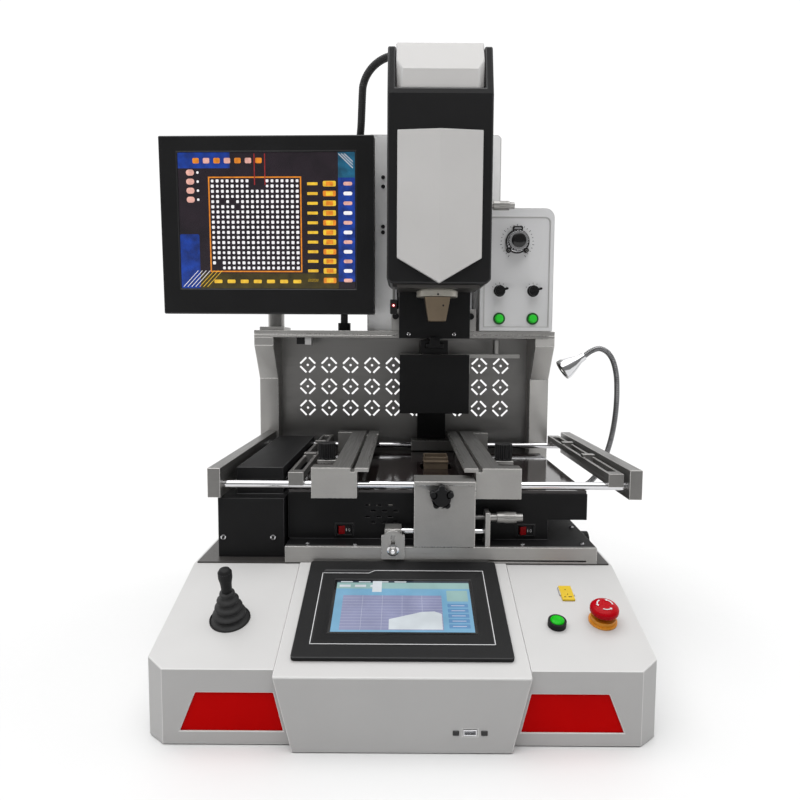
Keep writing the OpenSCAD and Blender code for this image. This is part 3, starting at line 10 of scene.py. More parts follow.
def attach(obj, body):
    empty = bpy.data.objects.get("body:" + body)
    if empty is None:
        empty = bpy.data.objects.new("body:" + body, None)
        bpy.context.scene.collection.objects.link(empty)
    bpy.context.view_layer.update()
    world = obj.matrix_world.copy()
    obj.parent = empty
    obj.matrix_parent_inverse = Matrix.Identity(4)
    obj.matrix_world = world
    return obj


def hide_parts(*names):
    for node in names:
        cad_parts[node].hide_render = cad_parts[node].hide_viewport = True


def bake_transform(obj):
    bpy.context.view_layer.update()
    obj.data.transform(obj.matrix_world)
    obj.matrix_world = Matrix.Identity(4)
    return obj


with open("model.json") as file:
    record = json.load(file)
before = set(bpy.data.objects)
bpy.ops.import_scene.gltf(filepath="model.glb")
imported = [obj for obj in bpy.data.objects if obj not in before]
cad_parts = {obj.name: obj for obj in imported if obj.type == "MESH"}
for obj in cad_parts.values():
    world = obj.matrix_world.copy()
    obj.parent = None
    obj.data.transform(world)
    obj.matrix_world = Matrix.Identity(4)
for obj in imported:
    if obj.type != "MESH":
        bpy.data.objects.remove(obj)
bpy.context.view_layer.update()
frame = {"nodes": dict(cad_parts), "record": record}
NODES = frame["nodes"]
MM = 0.001

# Sizes that the solids share, in millimetres
WING_EDGE = 79
DECK_RISE = 51
DECK_RUN = 168
BASE_FRONT = 280
CONSOLE_STEP = 2.5
SLOPE = math.atan2(DECK_RISE, DECK_RUN)
HEAD_X = 49
HEAD_Y = 93
PANEL_FACE_Y = 199.5
PANEL_X = 186.5


def mm(*values):
    """A point or size in metres from millimetres."""
    return Vector(values) * MM


def deck_matrix(x, y, lift=0.0):
    """Frame on the sloped deck: X to the right, Y up the slope, Z along its normal."""
    z = WING_EDGE + (y + BASE_FRONT) * math.tan(SLOPE) + lift
    return Matrix.Translation(mm(x, y, z)) @ Matrix.Rotation(SLOPE, 4, "X")


def front_matrix(x, y, z):
    """Frame on an upright front face: X to the right, Y up, Z towards the operator."""
    return Matrix.Translation(mm(x, y, z)) @ Matrix.Rotation(math.pi / 2, 4, "X")


# CAMERA

CAMERA_PLACE = (0.0, -0.907, 0.402)
CAMERA_PITCH = math.radians(90 - 4.8)
CAMERA_ROLL = math.radians(0.34)
CAMERA_LENS = 29.475
CAMERA_SHIFT = -0.005
CAMERA_SENSOR = 36
CAMERA_FAR = 200


def make_camera():
    """The photograph's view, as fitted to its vanishing lines."""
    data = bpy.data.cameras.new("camera")
    data.lens = CAMERA_LENS
    data.sensor_width = CAMERA_SENSOR
    data.shift_x = CAMERA_SHIFT
    data.clip_end = CAMERA_FAR
    camera = bpy.data.objects.new("camera", data)
    turn = Matrix.Rotation(CAMERA_PITCH, 4, "X") @ Matrix.Rotation(CAMERA_ROLL, 4, "Z")
    camera.matrix_world = Matrix.Translation(CAMERA_PLACE) @ turn
    bpy.context.scene.collection.objects.link(camera)
    bpy.context.scene.camera = camera


# MATERIALS

# Most of the noise lies between these two values
NOISE_LOW = 0.3
NOISE_HIGH = 0.7


def new_material(name):
    """A node material with its shader, and a function that adds and links nodes."""
    found = bpy.data.materials.new(name)
    found.use_nodes = True
    nodes = found.node_tree.nodes
    links = found.node_tree.links
    nodes.clear()
    output = nodes.new("ShaderNodeOutputMaterial")
    shader = nodes.new("ShaderNodeBsdfPrincipled")
    links.new(shader.outputs["BSDF"], output.inputs["Surface"])

    def add(kind, **inputs):
        node = nodes.new(kind)
        for key, value in inputs.items():
            socket = node.inputs[key.replace("_", " ")]
            if isinstance(value, bpy.types.NodeSocket):
                links.new(value, socket)
            else:
                socket.default_value = value
        return node

    return found, shader, add, links


def grain(add, scale, detail=3.0, stretch=(1, 1, 1)):
    """Noise in the piece's own coordinates, drawn out along an axis by stretch."""
    place = add("ShaderNodeTexCoord")
    mapping = add("ShaderNodeMapping", Vector=place.outputs["Object"], Scale=stretch)
    return add("ShaderNodeTexNoise", Vector=mapping.outputs["Vector"], Scale=scale, Detail=detail)


def ramp(add, factor, low, high):
    """A colour that runs from low to high as the noise rises."""
    node = add("ShaderNodeValToRGB", Fac=factor)
    node.color_ramp.elements[0].position = NOISE_LOW
    node.color_ramp.elements[0].color = (*low, 1)
    node.color_ramp.elements[1].position = NOISE_HIGH
    node.color_ramp.elements[1].color = (*high, 1)
    return node


def shade(colour, factor):
    """A colour made darker or brighter by a factor."""
    return tuple(min(1.0, c * factor) for c in colour)


def finish_of(name, colour, roughness=0.4, spread=0.08, metallic=0.0, vary=0.06, patch=14.0, fine=900.0,
              bump=0.08, depth=0.0004, stretch=(1, 1, 1), specular=0.5):
    """A surface with broad colour drift, fine grain in its gloss and a shallow relief."""
    found, shader, add, links = new_material(name)
    drift = grain(add, patch, 4.0)
    tone = ramp(add, drift.outputs["Fac"], shade(colour, 1 - vary), shade(colour, 1 + vary))
    links.new(tone.outputs["Color"], shader.inputs["Base Color"])
    relief = grain(add, fine, 2.0, stretch)
    gloss = add("ShaderNodeMapRange", Value=relief.outputs["Fac"])
    gloss.inputs["From Min"].default_value = NOISE_LOW
    gloss.inputs["From Max"].default_value = NOISE_HIGH
    gloss.inputs["To Min"].default_value = max(0.02, roughness - spread)
    gloss.inputs["To Max"].default_value = min(1.0, roughness + spread)
    links.new(gloss.outputs["Result"], shader.inputs["Roughness"])
    height = add("ShaderNodeBump", Height=relief.outputs["Fac"], Strength=bump, Distance=depth)
    links.new(height.outputs["Normal"], shader.inputs["Normal"])
    shader.inputs["Metallic"].default_value = metallic
    shader.inputs["Specular IOR Level"].default_value = specular
    return found


def lit(name, colour, strength=1.0, vary=0.08, patch=40.0):
    """A lit display colour under glass: it glows a little unevenly and still takes reflections."""
    found, shader, add, links = new_material(name)
    drift = grain(add, patch, 2.0)
    tone = ramp(add, drift.outputs["Fac"], shade(colour, 1 - vary), shade(colour, 1 + vary))
    links.new(tone.outputs["Color"], shader.inputs["Emission Color"])
    shader.inputs["Emission Strength"].default_value = strength
    shader.inputs["Base Color"].default_value = (0.01, 0.01, 0.012, 1)
    shader.inputs["Roughness"].default_value = 0.18
    return found


ALONG_X = (0.02, 1, 1)
ALONG_Y = (1, 0.02, 1)
WHITE = (0.51, 0.505, 0.50)
BLACK = (0.009, 0.009, 0.0095)
ALU = (0.36, 0.352, 0.34)
# What several finishes share
POWDER = dict(vary=0.02, fine=1500)
MILLED = dict(vary=0.06, patch=20, fine=700)
GLOSSY = dict(spread=0.05, bump=0.03)
FINISH = {
    name: finish_of(name, colour, **more) for name, colour, more in (
        ("white_paint", WHITE, dict(POWDER, roughness=0.42, bump=0.10, depth=0.0003)),
        # Darker copy of the white for upright faces: painted shade
        ("white_front_painted_shade", shade(WHITE, 0.80), dict(POWDER, roughness=0.46, bump=0.10, depth=0.0003)),
        # Lighter copy of the white for rounded edges: painted highlight
        ("white_edge", shade(WHITE, 1.12), dict(POWDER, roughness=0.36, bump=0.05)),
        ("white_shield", (0.58, 0.57, 0.56), dict(roughness=0.36, vary=0.03, patch=9, fine=1800, bump=0.06)),
        # Paler white for the control box's front faces: painted light
        ("panel_front_painted_light", (0.74, 0.74, 0.745), dict(POWDER, roughness=0.40, bump=0.08)),
        # Paler copy of the column's white for its front faces: painted light
        ("column_front", (0.93, 0.93, 0.93), dict(roughness=0.5, fine=500, bump=0.05, specular=0.3)),
        ("column_white", (0.56, 0.56, 0.56), dict(roughness=0.44, vary=0.03, fine=1500, bump=0.08)),
        ("black_paint", BLACK,
         dict(roughness=0.48, spread=0.1, vary=0.18, fine=1700, bump=0.22, specular=0.16)),
        # Lighter copy of the black for rounded edges: painted highlight
        ("black_edge", shade(BLACK, 2.6),
         dict(roughness=0.36, spread=0.1, vary=0.2, fine=1700, specular=0.35)),
        ("black_plastic", BLACK,
         dict(roughness=0.52, spread=0.1, vary=0.15, fine=2300, bump=0.30, specular=0.18)),
        ("gloss_black", shade(BLACK, 0.8),
         dict(roughness=0.16, spread=0.05, vary=0.15, fine=600, bump=0.02)),
        ("aluminium", ALU, dict(MILLED, roughness=0.40, metallic=0.8, bump=0.06, stretch=ALONG_Y)),
        ("aluminium_x", ALU, dict(MILLED, roughness=0.40, metallic=0.8, bump=0.06, stretch=ALONG_X)),
        ("aluminium_dark", shade(ALU, 0.56),
         dict(MILLED, roughness=0.42, metallic=0.75, bump=0.06, stretch=ALONG_Y)),
        # Darker copy of the aluminium for the clamps' tops: painted shade
        ("aluminium_top_painted_shade", shade(ALU, 0.42),
         dict(MILLED, roughness=0.44, metallic=0.6, bump=0.06, stretch=ALONG_Y)),
        # Paler copy of the aluminium for the table's adjusting plate: painted highlight
        ("aluminium_painted_highlight", shade(ALU, 0.84), dict(MILLED, roughness=0.42, metallic=0.75)),
        # Paler copy of the aluminium for the right post: painted light
        ("aluminium_painted_light", shade(ALU, 1.75), dict(MILLED, roughness=0.42, metallic=0.7)),
        ("dark_plate", (0.064, 0.060, 0.057),
         dict(roughness=0.42, metallic=0.4, vary=0.1, patch=12, fine=1200)),
        # Lighter copy of the aluminium for rounded edges: painted highlight
        ("aluminium_edge", shade(ALU, 1.5),
         dict(roughness=0.28, metallic=0.9, vary=0.05, fine=700, bump=0.04)),
        ("steel", (0.20, 0.196, 0.19),
         dict(roughness=0.36, metallic=0.85, vary=0.05, patch=5, fine=800, bump=0.08, stretch=ALONG_X)),
        ("chrome", (0.72, 0.72, 0.735),
         dict(roughness=0.09, spread=0.04, metallic=1.0, vary=0.03, patch=30, fine=500, bump=0.02)),
        ("dark_chrome", (0.20, 0.20, 0.205),
         dict(GLOSSY, roughness=0.22, metallic=0.9, vary=0.08, fine=500)),
        ("nozzle_metal", (0.155, 0.118, 0.078),
         dict(roughness=0.38, metallic=0.6, vary=0.12, patch=30, fine=900, stretch=(1, 1, 20))),
        ("champagne", (0.44, 0.42, 0.37), dict(roughness=0.34, metallic=0.6, vary=0.06, patch=30, fine=900)),
        ("bronze", (0.20, 0.155, 0.11), dict(roughness=0.42, metallic=0.6, vary=0.12, patch=40, fine=900)),
        ("red", (0.46, 0.0002, 0.0004),
         dict(roughness=0.40, spread=0.06, fine=1200, bump=0.04, specular=0.03)),
        ("rocker_red", (0.22, 0.001, 0.003), dict(GLOSSY, roughness=0.30, fine=900, specular=0.1)),
        ("red_button", (0.37, 0.001, 0.006), dict(GLOSSY, roughness=0.26, fine=900, specular=0.09)),
        ("green_panel", (0.035, 0.74, 0.045), dict(GLOSSY, roughness=0.26, fine=900, specular=0.2)),
        ("green", (0.004, 0.40, 0.006), dict(GLOSSY, roughness=0.26, vary=0.1, patch=120, specular=0.15)),
        ("green_dark", (0.006, 0.10, 0.01), dict(GLOSSY, roughness=0.30, vary=0.1, patch=120)),
        ("yellow", (0.62, 0.42, 0.004), dict(roughness=0.38, spread=0.06, vary=0.05, patch=90, fine=1500)),
        ("orange", (0.62, 0.24, 0.01), dict(roughness=0.36, spread=0.06, patch=90, fine=1500)),
        ("black_glass", (0.012, 0.008, 0.008),
         dict(roughness=0.09, spread=0.03, vary=0.3, patch=25, fine=300, bump=0.01)),
        ("ceramic", (0.60, 0.57, 0.52), dict(roughness=0.3, spread=0.06, patch=50, fine=700, bump=0.05)),
        ("rubber", BLACK, dict(roughness=0.62, spread=0.1, vary=0.2, patch=60, fine=1400, bump=0.25)),
        # Near-black for holes and socket bottoms, drawn as discs: painted shade
        ("hole_painted_shade", (0.004, 0.004, 0.004), dict(roughness=0.8, spread=0.05, vary=0.2, bump=0.1)),
        ("print", (0.04, 0.04, 0.045), dict(roughness=0.5, spread=0.05, vary=0.1, bump=0.02)),
        ("pale_print", (0.55, 0.55, 0.56), dict(roughness=0.4, spread=0.05, vary=0.05, bump=0.02)))
}
# Finish of the rounded edges, by the finish of the faces beside them: a lighter copy, a painted highlight
# along the edges
EDGE_HIGHLIGHT_GROUPS = {
    "white_edge": ("white_paint", "white_front_painted_shade", "white_shield", "panel_front_painted_light", "column_white",
                   "column_front"),
    "black_edge": ("black_paint", "black_plastic", "dark_plate"),
    "aluminium_edge": ("aluminium", "aluminium_x", "aluminium_dark", "aluminium_painted_highlight", "aluminium_painted_light",
                       "aluminium_top_painted_shade", "steel"),
}
EDGE_HIGHLIGHT_OF = {name: edge for edge, names in EDGE_HIGHLIGHT_GROUPS.items() for name in names}

# SOFT-EDGED COPIES OF THE SOLIDS

SMOOTH_ANGLE = math.radians(32)
FLAT_ANGLE = math.radians(0.4)
WELD = 2e-6
EDGE_SEGMENTS = 2
BODY_OF = {node: name for name, nodes in frame["record"]["behaviour"]["bodies"].items() for node in nodes}


def link(obj, body, slot=None):
    """Puts a finished piece in the scene, riding on a body."""
    if obj.name not in bpy.context.scene.collection.objects:
        bpy.context.scene.collection.objects.link(obj)
    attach(obj, body)


def soften(node, finish, width, paint):
    """Copies a solid with small rounded edges and a finish, and shows the copy in the solid's place.

    paint(centre, normal) may return another finish's name for a face, whose centre is in millimetres.
    """
    mesh = bmesh.new()
    mesh.from_mesh(NODES[node].data)
    mesh.normal_update()
    bmesh.ops.remove_doubles(mesh, verts=mesh.verts, dist=WELD)
    bmesh.ops.dissolve_limit(mesh, angle_limit=FLAT_ANGLE, verts=mesh.verts, edges=mesh.edges)
    data = bpy.data.meshes.new("soft_" + node)
    names = [finish]
    for face in mesh.faces:
        name = paint(face.calc_center_median() / MM, face.normal) if paint else None
        name = name or finish
        if name not in names:
            names.append(name)
        face.material_index = names.index(name)
        face.smooth = True
    mesh.to_mesh(data)
    mesh.free()
    for name in names:
        data.materials.append(FINISH[name])
    data.set_sharp_from_angle(angle=SMOOTH_ANGLE)
    obj = bpy.data.objects.new("soft_" + node, data)
    link(obj, BODY_OF[node])
    if width:
        bevel = obj.modifiers.new("edges", "BEVEL")
        bevel.width = width * MM
        bevel.segments = EDGE_SEGMENTS
        bevel.limit_method = "ANGLE"
        bevel.angle_limit = SMOOTH_ANGLE
        bevel.use_clamp_overlap = False
        bevel.harden_normals = True
        # The rounded edges take a lighter copy of the faces' finish: a painted highlight
        edges = {EDGE_HIGHLIGHT_OF.get(name) for name in names}
        if len(edges) == 1 and None not in edges:
            data.materials.append(FINISH[edges.pop()])
            bevel.material = len(names)
    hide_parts(node)


# SHARED SHAPES

LATHE_SIDES = 48


def mesh_object(name, mesh, finishes, smooth=True):
    """An object from a bmesh, with its finishes in slot order."""
    data = bpy.data.meshes.new(name)
    for face in mesh.faces:
        face.smooth = smooth
    mesh.to_mesh(data)
    mesh.free()
    for finish in finishes:
        data.materials.append(FINISH[finish])
    if smooth:
        data.set_sharp_from_angle(angle=SMOOTH_ANGLE)
    obj = bpy.data.objects.new(name, data)
    bpy.context.scene.collection.objects.link(obj)
    return obj


def smooth_path(points, step):
    """A smooth cubic curve through points, as closely spaced points about step apart."""
    p = [Vector(q) for q in points]
    p = [2 * p[0] - p[1]] + p + [2 * p[-1] - p[-2]]
    path = []
    for i in range(1, len(p) - 2):
        a, b, c, d = p[i - 1], p[i], p[i + 1], p[i + 2]
        count = max(2, round((c - b).length / step))
        for k in range(count):
            t = k / count
            path.append(0.5 * (2 * b + (c - a) * t + (2 * a - 5 * b + 4 * c - d) * t * t
                               + (3 * b - a - 3 * c + d) * t ** 3))
    return path + [p[-2]]


def sweep(name, path, radius_at, sides, finish, reference=Vector((0, 1, 0.2))):
    """A closed tube along path; radius_at(distance) gives its radius, all in metres."""
    mesh = bmesh.new()
    rings = []
    travelled = 0.0
    for i, point in enumerate(path):
        if i:
            travelled += (point - path[i - 1]).length
        ahead = path[min(i + 1, len(path) - 1)] - path[max(i - 1, 0)]
        along = ahead.normalized()
        side = reference.cross(along).normalized()
        up = along.cross(side)
        radius = radius_at(travelled)
        angles = [2 * math.pi * k / sides for k in range(sides)]
        rings.append([mesh.verts.new(point + radius * (math.cos(a) * side + math.sin(a) * up))
                      for a in angles])
    for low, high in zip(rings, rings[1:]):
        for k in range(sides):
            mesh.faces.new((low[k], low[(k + 1) % sides], high[(k + 1) % sides], high[k]))
    mesh.faces.new(list(reversed(rings[0])))
    mesh.faces.new(rings[-1])
    bmesh.ops.recalc_face_normals(mesh, faces=mesh.faces)
    return mesh_object(name, mesh, [finish])


def lathe(name, outline, finish, matrix):
    """A turned piece from (radius, height) points in millimetres, about its frame's Z."""
    mesh = bmesh.new()
    angles = [2 * math.pi * k / LATHE_SIDES for k in range(LATHE_SIDES)]
    rings = [[mesh.verts.new(mm(radius * math.cos(a), radius * math.sin(a), height)) for a in angles]
             for radius, height in outline]
    for low, high in zip(rings, rings[1:]):
        for k in range(LATHE_SIDES):
            n = (k + 1) % LATHE_SIDES
            mesh.faces.new((low[k], low[n], high[n], high[k]))
    bmesh.ops.recalc_face_normals(mesh, faces=mesh.faces)
    mesh.transform(matrix)
    return mesh_object(name, mesh, [finish])


# HOSE, GOOSENECK AND BOOT

HOSE_D = 13
HOSE_START = (32, 185, 795)
HOSE_ARC = 52
HOSE_LEAN = 0.33
HOSE_RISE = 24
HOSE_GLAND = 11
HOSE_RIB = 3.2
HOSE_RIB_DEPTH = 0.35
HOSE_STEP = 0.8
HOSE_SIDES = 24
HOSE_DROP = [
    (-75, 231, 770), (-79, 243, 740), (-83, 250, 705), (-88, 254, 665), (-93, 256, 625), (-98, 256, 585),
    (-102, 256, 545), (-105, 256, 505), (-106, 256, 465), (-106, 256, 427),
]


def hose_route():
    """The route's points in millimetres, from the gland behind the head to the one in the shelf."""
    x, y, z = HOSE_START
    turns = [math.radians(a) for a in range(0, 181, 15)]
    arc = [(x + HOSE_ARC * (math.cos(a) - 1), y + HOSE_ARC * HOSE_LEAN * (1 - math.cos(a)),
            z + HOSE_RISE + HOSE_ARC * math.sin(a)) for a in turns]
    return [(x, y, z - HOSE_GLAND), (x, y, z)] + arc + HOSE_DROP


def make_hose():
    """Ribbed hose from behind the head to the shelf."""
    path = smooth_path([mm(*p) for p in hose_route()], HOSE_STEP * MM)
    length = sum((b - a).length for a, b in zip(path, path[1:]))

    def radius(distance):
        wave = 0.5 - 0.5 * math.cos(2 * math.pi * distance / (HOSE_RIB * MM))
        return (HOSE_D / 2 - HOSE_RIB_DEPTH * wave) * MM

    hose = sweep("air_hose", path, radius, HOSE_SIDES, "rubber")
    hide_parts("hose")
    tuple(path[0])
    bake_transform(hose)


NECK_D = 9
NECK_POINTS = [
    (246, 150, 133), (246, 150, 146), (250, 150, 158), (262, 150, 166), (281, 150, 170), (300, 150, 177),
    (315, 150, 192), (325, 150, 212), (332, 150, 232), (338, 150, 256), (342, 150, 282), (344, 150, 308),
    (344, 150, 334), (342, 150, 358), (336, 150, 379), (327, 150, 392), (314, 150, 398), (301, 150, 394),
    (290, 150, 386),
]
NECK_RIB = 3.0
NECK_RIB_DEPTH = 0.55
NECK_STEP = 0.5
NECK_SIDES = 20


def make_gooseneck():
    """Coiled neck between the base and the lamp."""
    path = smooth_path([mm(*p) for p in NECK_POINTS], NECK_STEP * MM)

    def radius(distance):
        wave = abs(math.sin(math.pi * distance / (NECK_RIB * MM)))
        return (NECK_D / 2 - NECK_RIB_DEPTH * (1 - wave)) * MM

    neck = sweep("flexible_neck", path, radius, NECK_SIDES, "dark_chrome", Vector((0, 1, 0)))
    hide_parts("gooseneck")
    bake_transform(neck)


BOOT_D = 42
BOOT_TOP = 36
BOOT_RIBS = 4
BOOT_RIB = 2
BOOT_STEPS = 16
BOOT_NECK = 9.5
BOOT_WALL = 1.2
BOOT_LIP = 1
BOOT_LIP_HEIGHT = 1.6
BOOT_MOUTH = 5.2
JOYSTICK = (-190, -209)


def boot_outline(low, high):
    """Bellows outline between two heights: ribs that shrink towards the top."""
    count = BOOT_STEPS * BOOT_RIBS
    points = []
    for k in range(count + 1):
        h = BOOT_TOP * k / count
        if not low - 1e-6 <= h <= high + 1e-6:
            continue
        t = h / BOOT_TOP
        wide = BOOT_D / 2 - BOOT_RIB - (BOOT_D / 2 - BOOT_NECK) * t
        rib = BOOT_RIB * (1 - 0.35 * t) * math.cos(2 * math.pi * BOOT_RIBS * t)
        points.append((wide + rib * (0.3 + 0.7 * min(1, 6 * (1 - t))), h))
    return points


def make_boot():
    """Rubber bellows in two halves."""
    place = deck_matrix(*JOYSTICK)
    middle = BOOT_TOP / 2
    lower = boot_outline(0, middle)
    inner = [(r - BOOT_WALL, h) for r, h in reversed(lower)]
    lip = [(BOOT_D / 2 + BOOT_LIP, 0), (BOOT_D / 2 + BOOT_LIP, BOOT_LIP_HEIGHT)]
    low = lathe("boot_lower", lip + lower + inner, "rubber", place)
    upper = boot_outline(middle, BOOT_TOP)
    inner = [(r - BOOT_WALL, h) for r, h in reversed(upper)]
    high = lathe("boot_upper", upper + [(BOOT_MOUTH, BOOT_TOP + 1)] + inner, "rubber", place)
    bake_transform(low)
    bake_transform(high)
    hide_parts("joystick_boot")


# LIT DISPLAYS

# Colour and strength of each, and for some also the unevenness and how fine it is
LIT = {
    "screen_sky": ((0.22, 0.50, 0.74), 0.75),
    "screen_mint": ((0.36, 0.58, 0.56), 0.75),
    "screen_lavender": ((0.36, 0.38, 0.60), 0.70),
    "screen_line": ((0.66, 0.70, 0.86), 0.75),
    "screen_pale": ((0.72, 0.78, 0.82), 0.85),
    "screen_blue": ((0.14, 0.34, 0.62), 0.75),
    "screen_dark": ((0.03, 0.05, 0.08), 0.6),
    "picture_night": ((0.013, 0.007, 0.011), 0.9, 0.35, 30),
    "picture_blue": ((0.004, 0.038, 0.28), 0.9, 0.45, 60),
    "picture_teal": ((0.01, 0.12, 0.22), 0.8, 0.4, 60),
    "picture_olive": ((0.055, 0.040, 0.002), 0.8, 0.4, 60),
    "picture_pad": ((0.92, 0.90, 0.92), 1.0, 0.06, 200),
    "picture_gold": ((0.88, 0.26, 0.015), 0.9, 0.25, 150),
    "picture_amber": ((0.96, 0.54, 0.035), 0.95, 0.2, 150),
    "picture_pink": ((0.85, 0.45, 0.38), 0.9, 0.2, 150),
    "picture_red": ((0.40, 0.02, 0.02), 0.8, 0.2, 150),
    "laser_glow": ((1.0, 0.55, 0.55), 3.0),
    # Pale glowing point in the lamp's lens: a painted reflection
    "lamp_painted_reflection": ((0.95, 0.95, 0.90), 0.8),
}
FINISH.update((name, lit(name, *look)) for name, look in LIT.items())
LAYER = 0.02


def oblong(x0, y0, x1, y1, round_off=0.0):
    """A rectangle's outline in millimetres, with its corners rounded by round_off."""
    r = min(round_off, (x1 - x0) / 2.01, (y1 - y0) / 2.01)
    if r <= 0:
        return [(x0, y0), (x1, y0), (x1, y1), (x0, y1)]
    points = []
    corners = ((x1 - r, y0 + r, -90), (x1 - r, y1 - r, 0), (x0 + r, y1 - r, 90), (x0 + r, y0 + r, 180))
    for cx, cy, start in corners:
        for k in range(4):
            a = math.radians(start + 30 * k)
            points.append((cx + r * math.cos(a), cy + r * math.sin(a)))
    return points


def stroke(points, width):
    """Strips along a line of points, one per segment, with the joints overlapped."""
    strips = []
    for (ax, ay), (bx, by) in zip(points, points[1:]):
        along = Vector((bx - ax, by - ay)).normalized() * width / 2
        side = Vector((-along.y, along.x))
        a = Vector((ax, ay)) - along
        b = Vector((bx, by)) + along
        strips.append([tuple(a - side), tuple(b - side), tuple(b + side), tuple(a + side)])
    return strips


def flat_piece(name, matrix, shapes, body, slot, base=0.05):
    """Thin printed or lit shapes on a face: each entry is (points, finish, layer)."""
    names = []
    mesh = bmesh.new()
    for points, finish, layer in shapes:
        if finish not in names:
            names.append(finish)
        height = base + layer * LAYER
        face = mesh.faces.new([mesh.verts.new(mm(x, y, height)) for x, y in points])
        face.material_index = names.index(finish)
    mesh.normal_update()
    for face in mesh.faces:
        if face.normal.z < 0:
            face.normal_flip()
    mesh.transform(matrix)
    link(mesh_object(name, mesh, names, smooth=False), body, slot)


HMI_Y = -193.99
HMI_GLASS = 4.0
HMI_BEZEL = 5.0
SCREEN_W = 154
SCREEN_H = 86


def make_touch_display():
    """Operating page of the touch panel: a status band, a chart with its grid and a column of keys."""
    w, h = SCREEN_W, SCREEN_H
    shapes = [
        (oblong(0, 0, w, h), "screen_sky", 0),
        (oblong(0, h - 14, w, h - 3), "screen_mint", 1),
        (oblong(0, h - 3, w, h), "screen_dark", 1),
        (oblong(w * 0.27, h - 20, w * 0.34, h), "screen_pale", 2),
    ]
    for k in range(4):
        shapes.append((oblong(4 + 21 * k, h - 2.4, 18 + 21 * k, h - 0.6, 0.4), "screen_pale", 2))
    left, right, low, high = 9, 121, 3, 60
    shapes.append((oblong(left, low, right, high), "screen_lavender", 1))
    for k in range(1, 12):
        y = low + (high - low) * k / 12
        shapes.append((oblong(left, y - 0.15, right, y + 0.15), "screen_line", 2))
    for k in range(1, 5):
        x = left + (right - left) * k / 5
        shapes.append((oblong(x - 0.15, low, x + 0.15, high), "screen_line", 2))
    curve = [(62, 4), (62, 20), (80, 26), (98, 32), (112, 33), (120, 29), (120, 4)]
    shapes.append((curve, "screen_pale", 3))
    shapes.append((oblong(127, h - 36, 151, h - 17, 1), "screen_mint", 2))
    for k in range(5):
        shapes.append((oblong(127, 6 + 8.4 * k, 150, 12.4 + 8.4 * k, 1), "screen_blue", 2))
        shapes.append((oblong(131, 8.6 + 8.4 * k, 146, 9.6 + 8.4 * k), "screen_line", 3))
    for k in range(3):
        shapes.append((oblong(3 + 18 * k, h - 11, 16 + 18 * k, h - 7, 0.5), "screen_pale", 2))
    matrix = deck_matrix(0, HMI_Y, CONSOLE_STEP) @ Matrix.Translation(mm(-w / 2, -h / 2, HMI_GLASS))
    flat_piece("touch_page", matrix, shapes, "base", "display")


def make_bezel_print():
    """Fine silver line round the touch display, with its notch at the upper left."""
    line = [(-96, -62), (96, -62), (96, 62), (-34, 62), (-41, 57), (-96, 57), (-96, -62)]
    shapes = [(strip, "pale_print", 0) for strip in stroke(line, 0.9)]
    matrix = deck_matrix(0, HMI_Y, CONSOLE_STEP) @ Matrix.Translation(mm(0, 0, HMI_BEZEL))
    flat_piece("bezel_line", matrix, shapes, "base", "black_plastic")


PICTURE_W = 304
PICTURE_H = 228
PICTURE_FIT = 0.967
PICTURE_LIFT = 8
MONITOR_X = -227
STAND_Y = 262
HINGE_DY = -16
MONITOR_Z = 599
MONITOR_TURN = math.radians(-2)
MONITOR_TILT = math.radians(2)
PICTURE_FRONT = -45.2
PADS = 18
PAD_MARGIN = 6
BARE_PADS = {
    (8, 17), (9, 17), (10, 17), (8, 16), (9, 16), (10, 16), (0, 0), (1, 0), (1, 1), (4, 13), (5, 12), (2, 13),
}


def monitor_matrix():
    """Frame on the picture: X to the right, Y up, Z towards the operator, from its lower left corner."""
    hinge = Matrix.Translation(mm(MONITOR_X, STAND_Y, 0)) @ Matrix.Rotation(MONITOR_TURN, 4, "Z")
    hinge = hinge @ Matrix.Translation(mm(0, HINGE_DY, MONITOR_Z)) @ Matrix.Rotation(MONITOR_TILT, 4, "X")
    face = hinge @ front_matrix(0, PICTURE_FRONT, PICTURE_LIFT) @ Matrix.Scale(PICTURE_FIT, 4)
    return face @ Matrix.Translation(mm(-PICTURE_W / 2, -PICTURE_H / 2, 0))


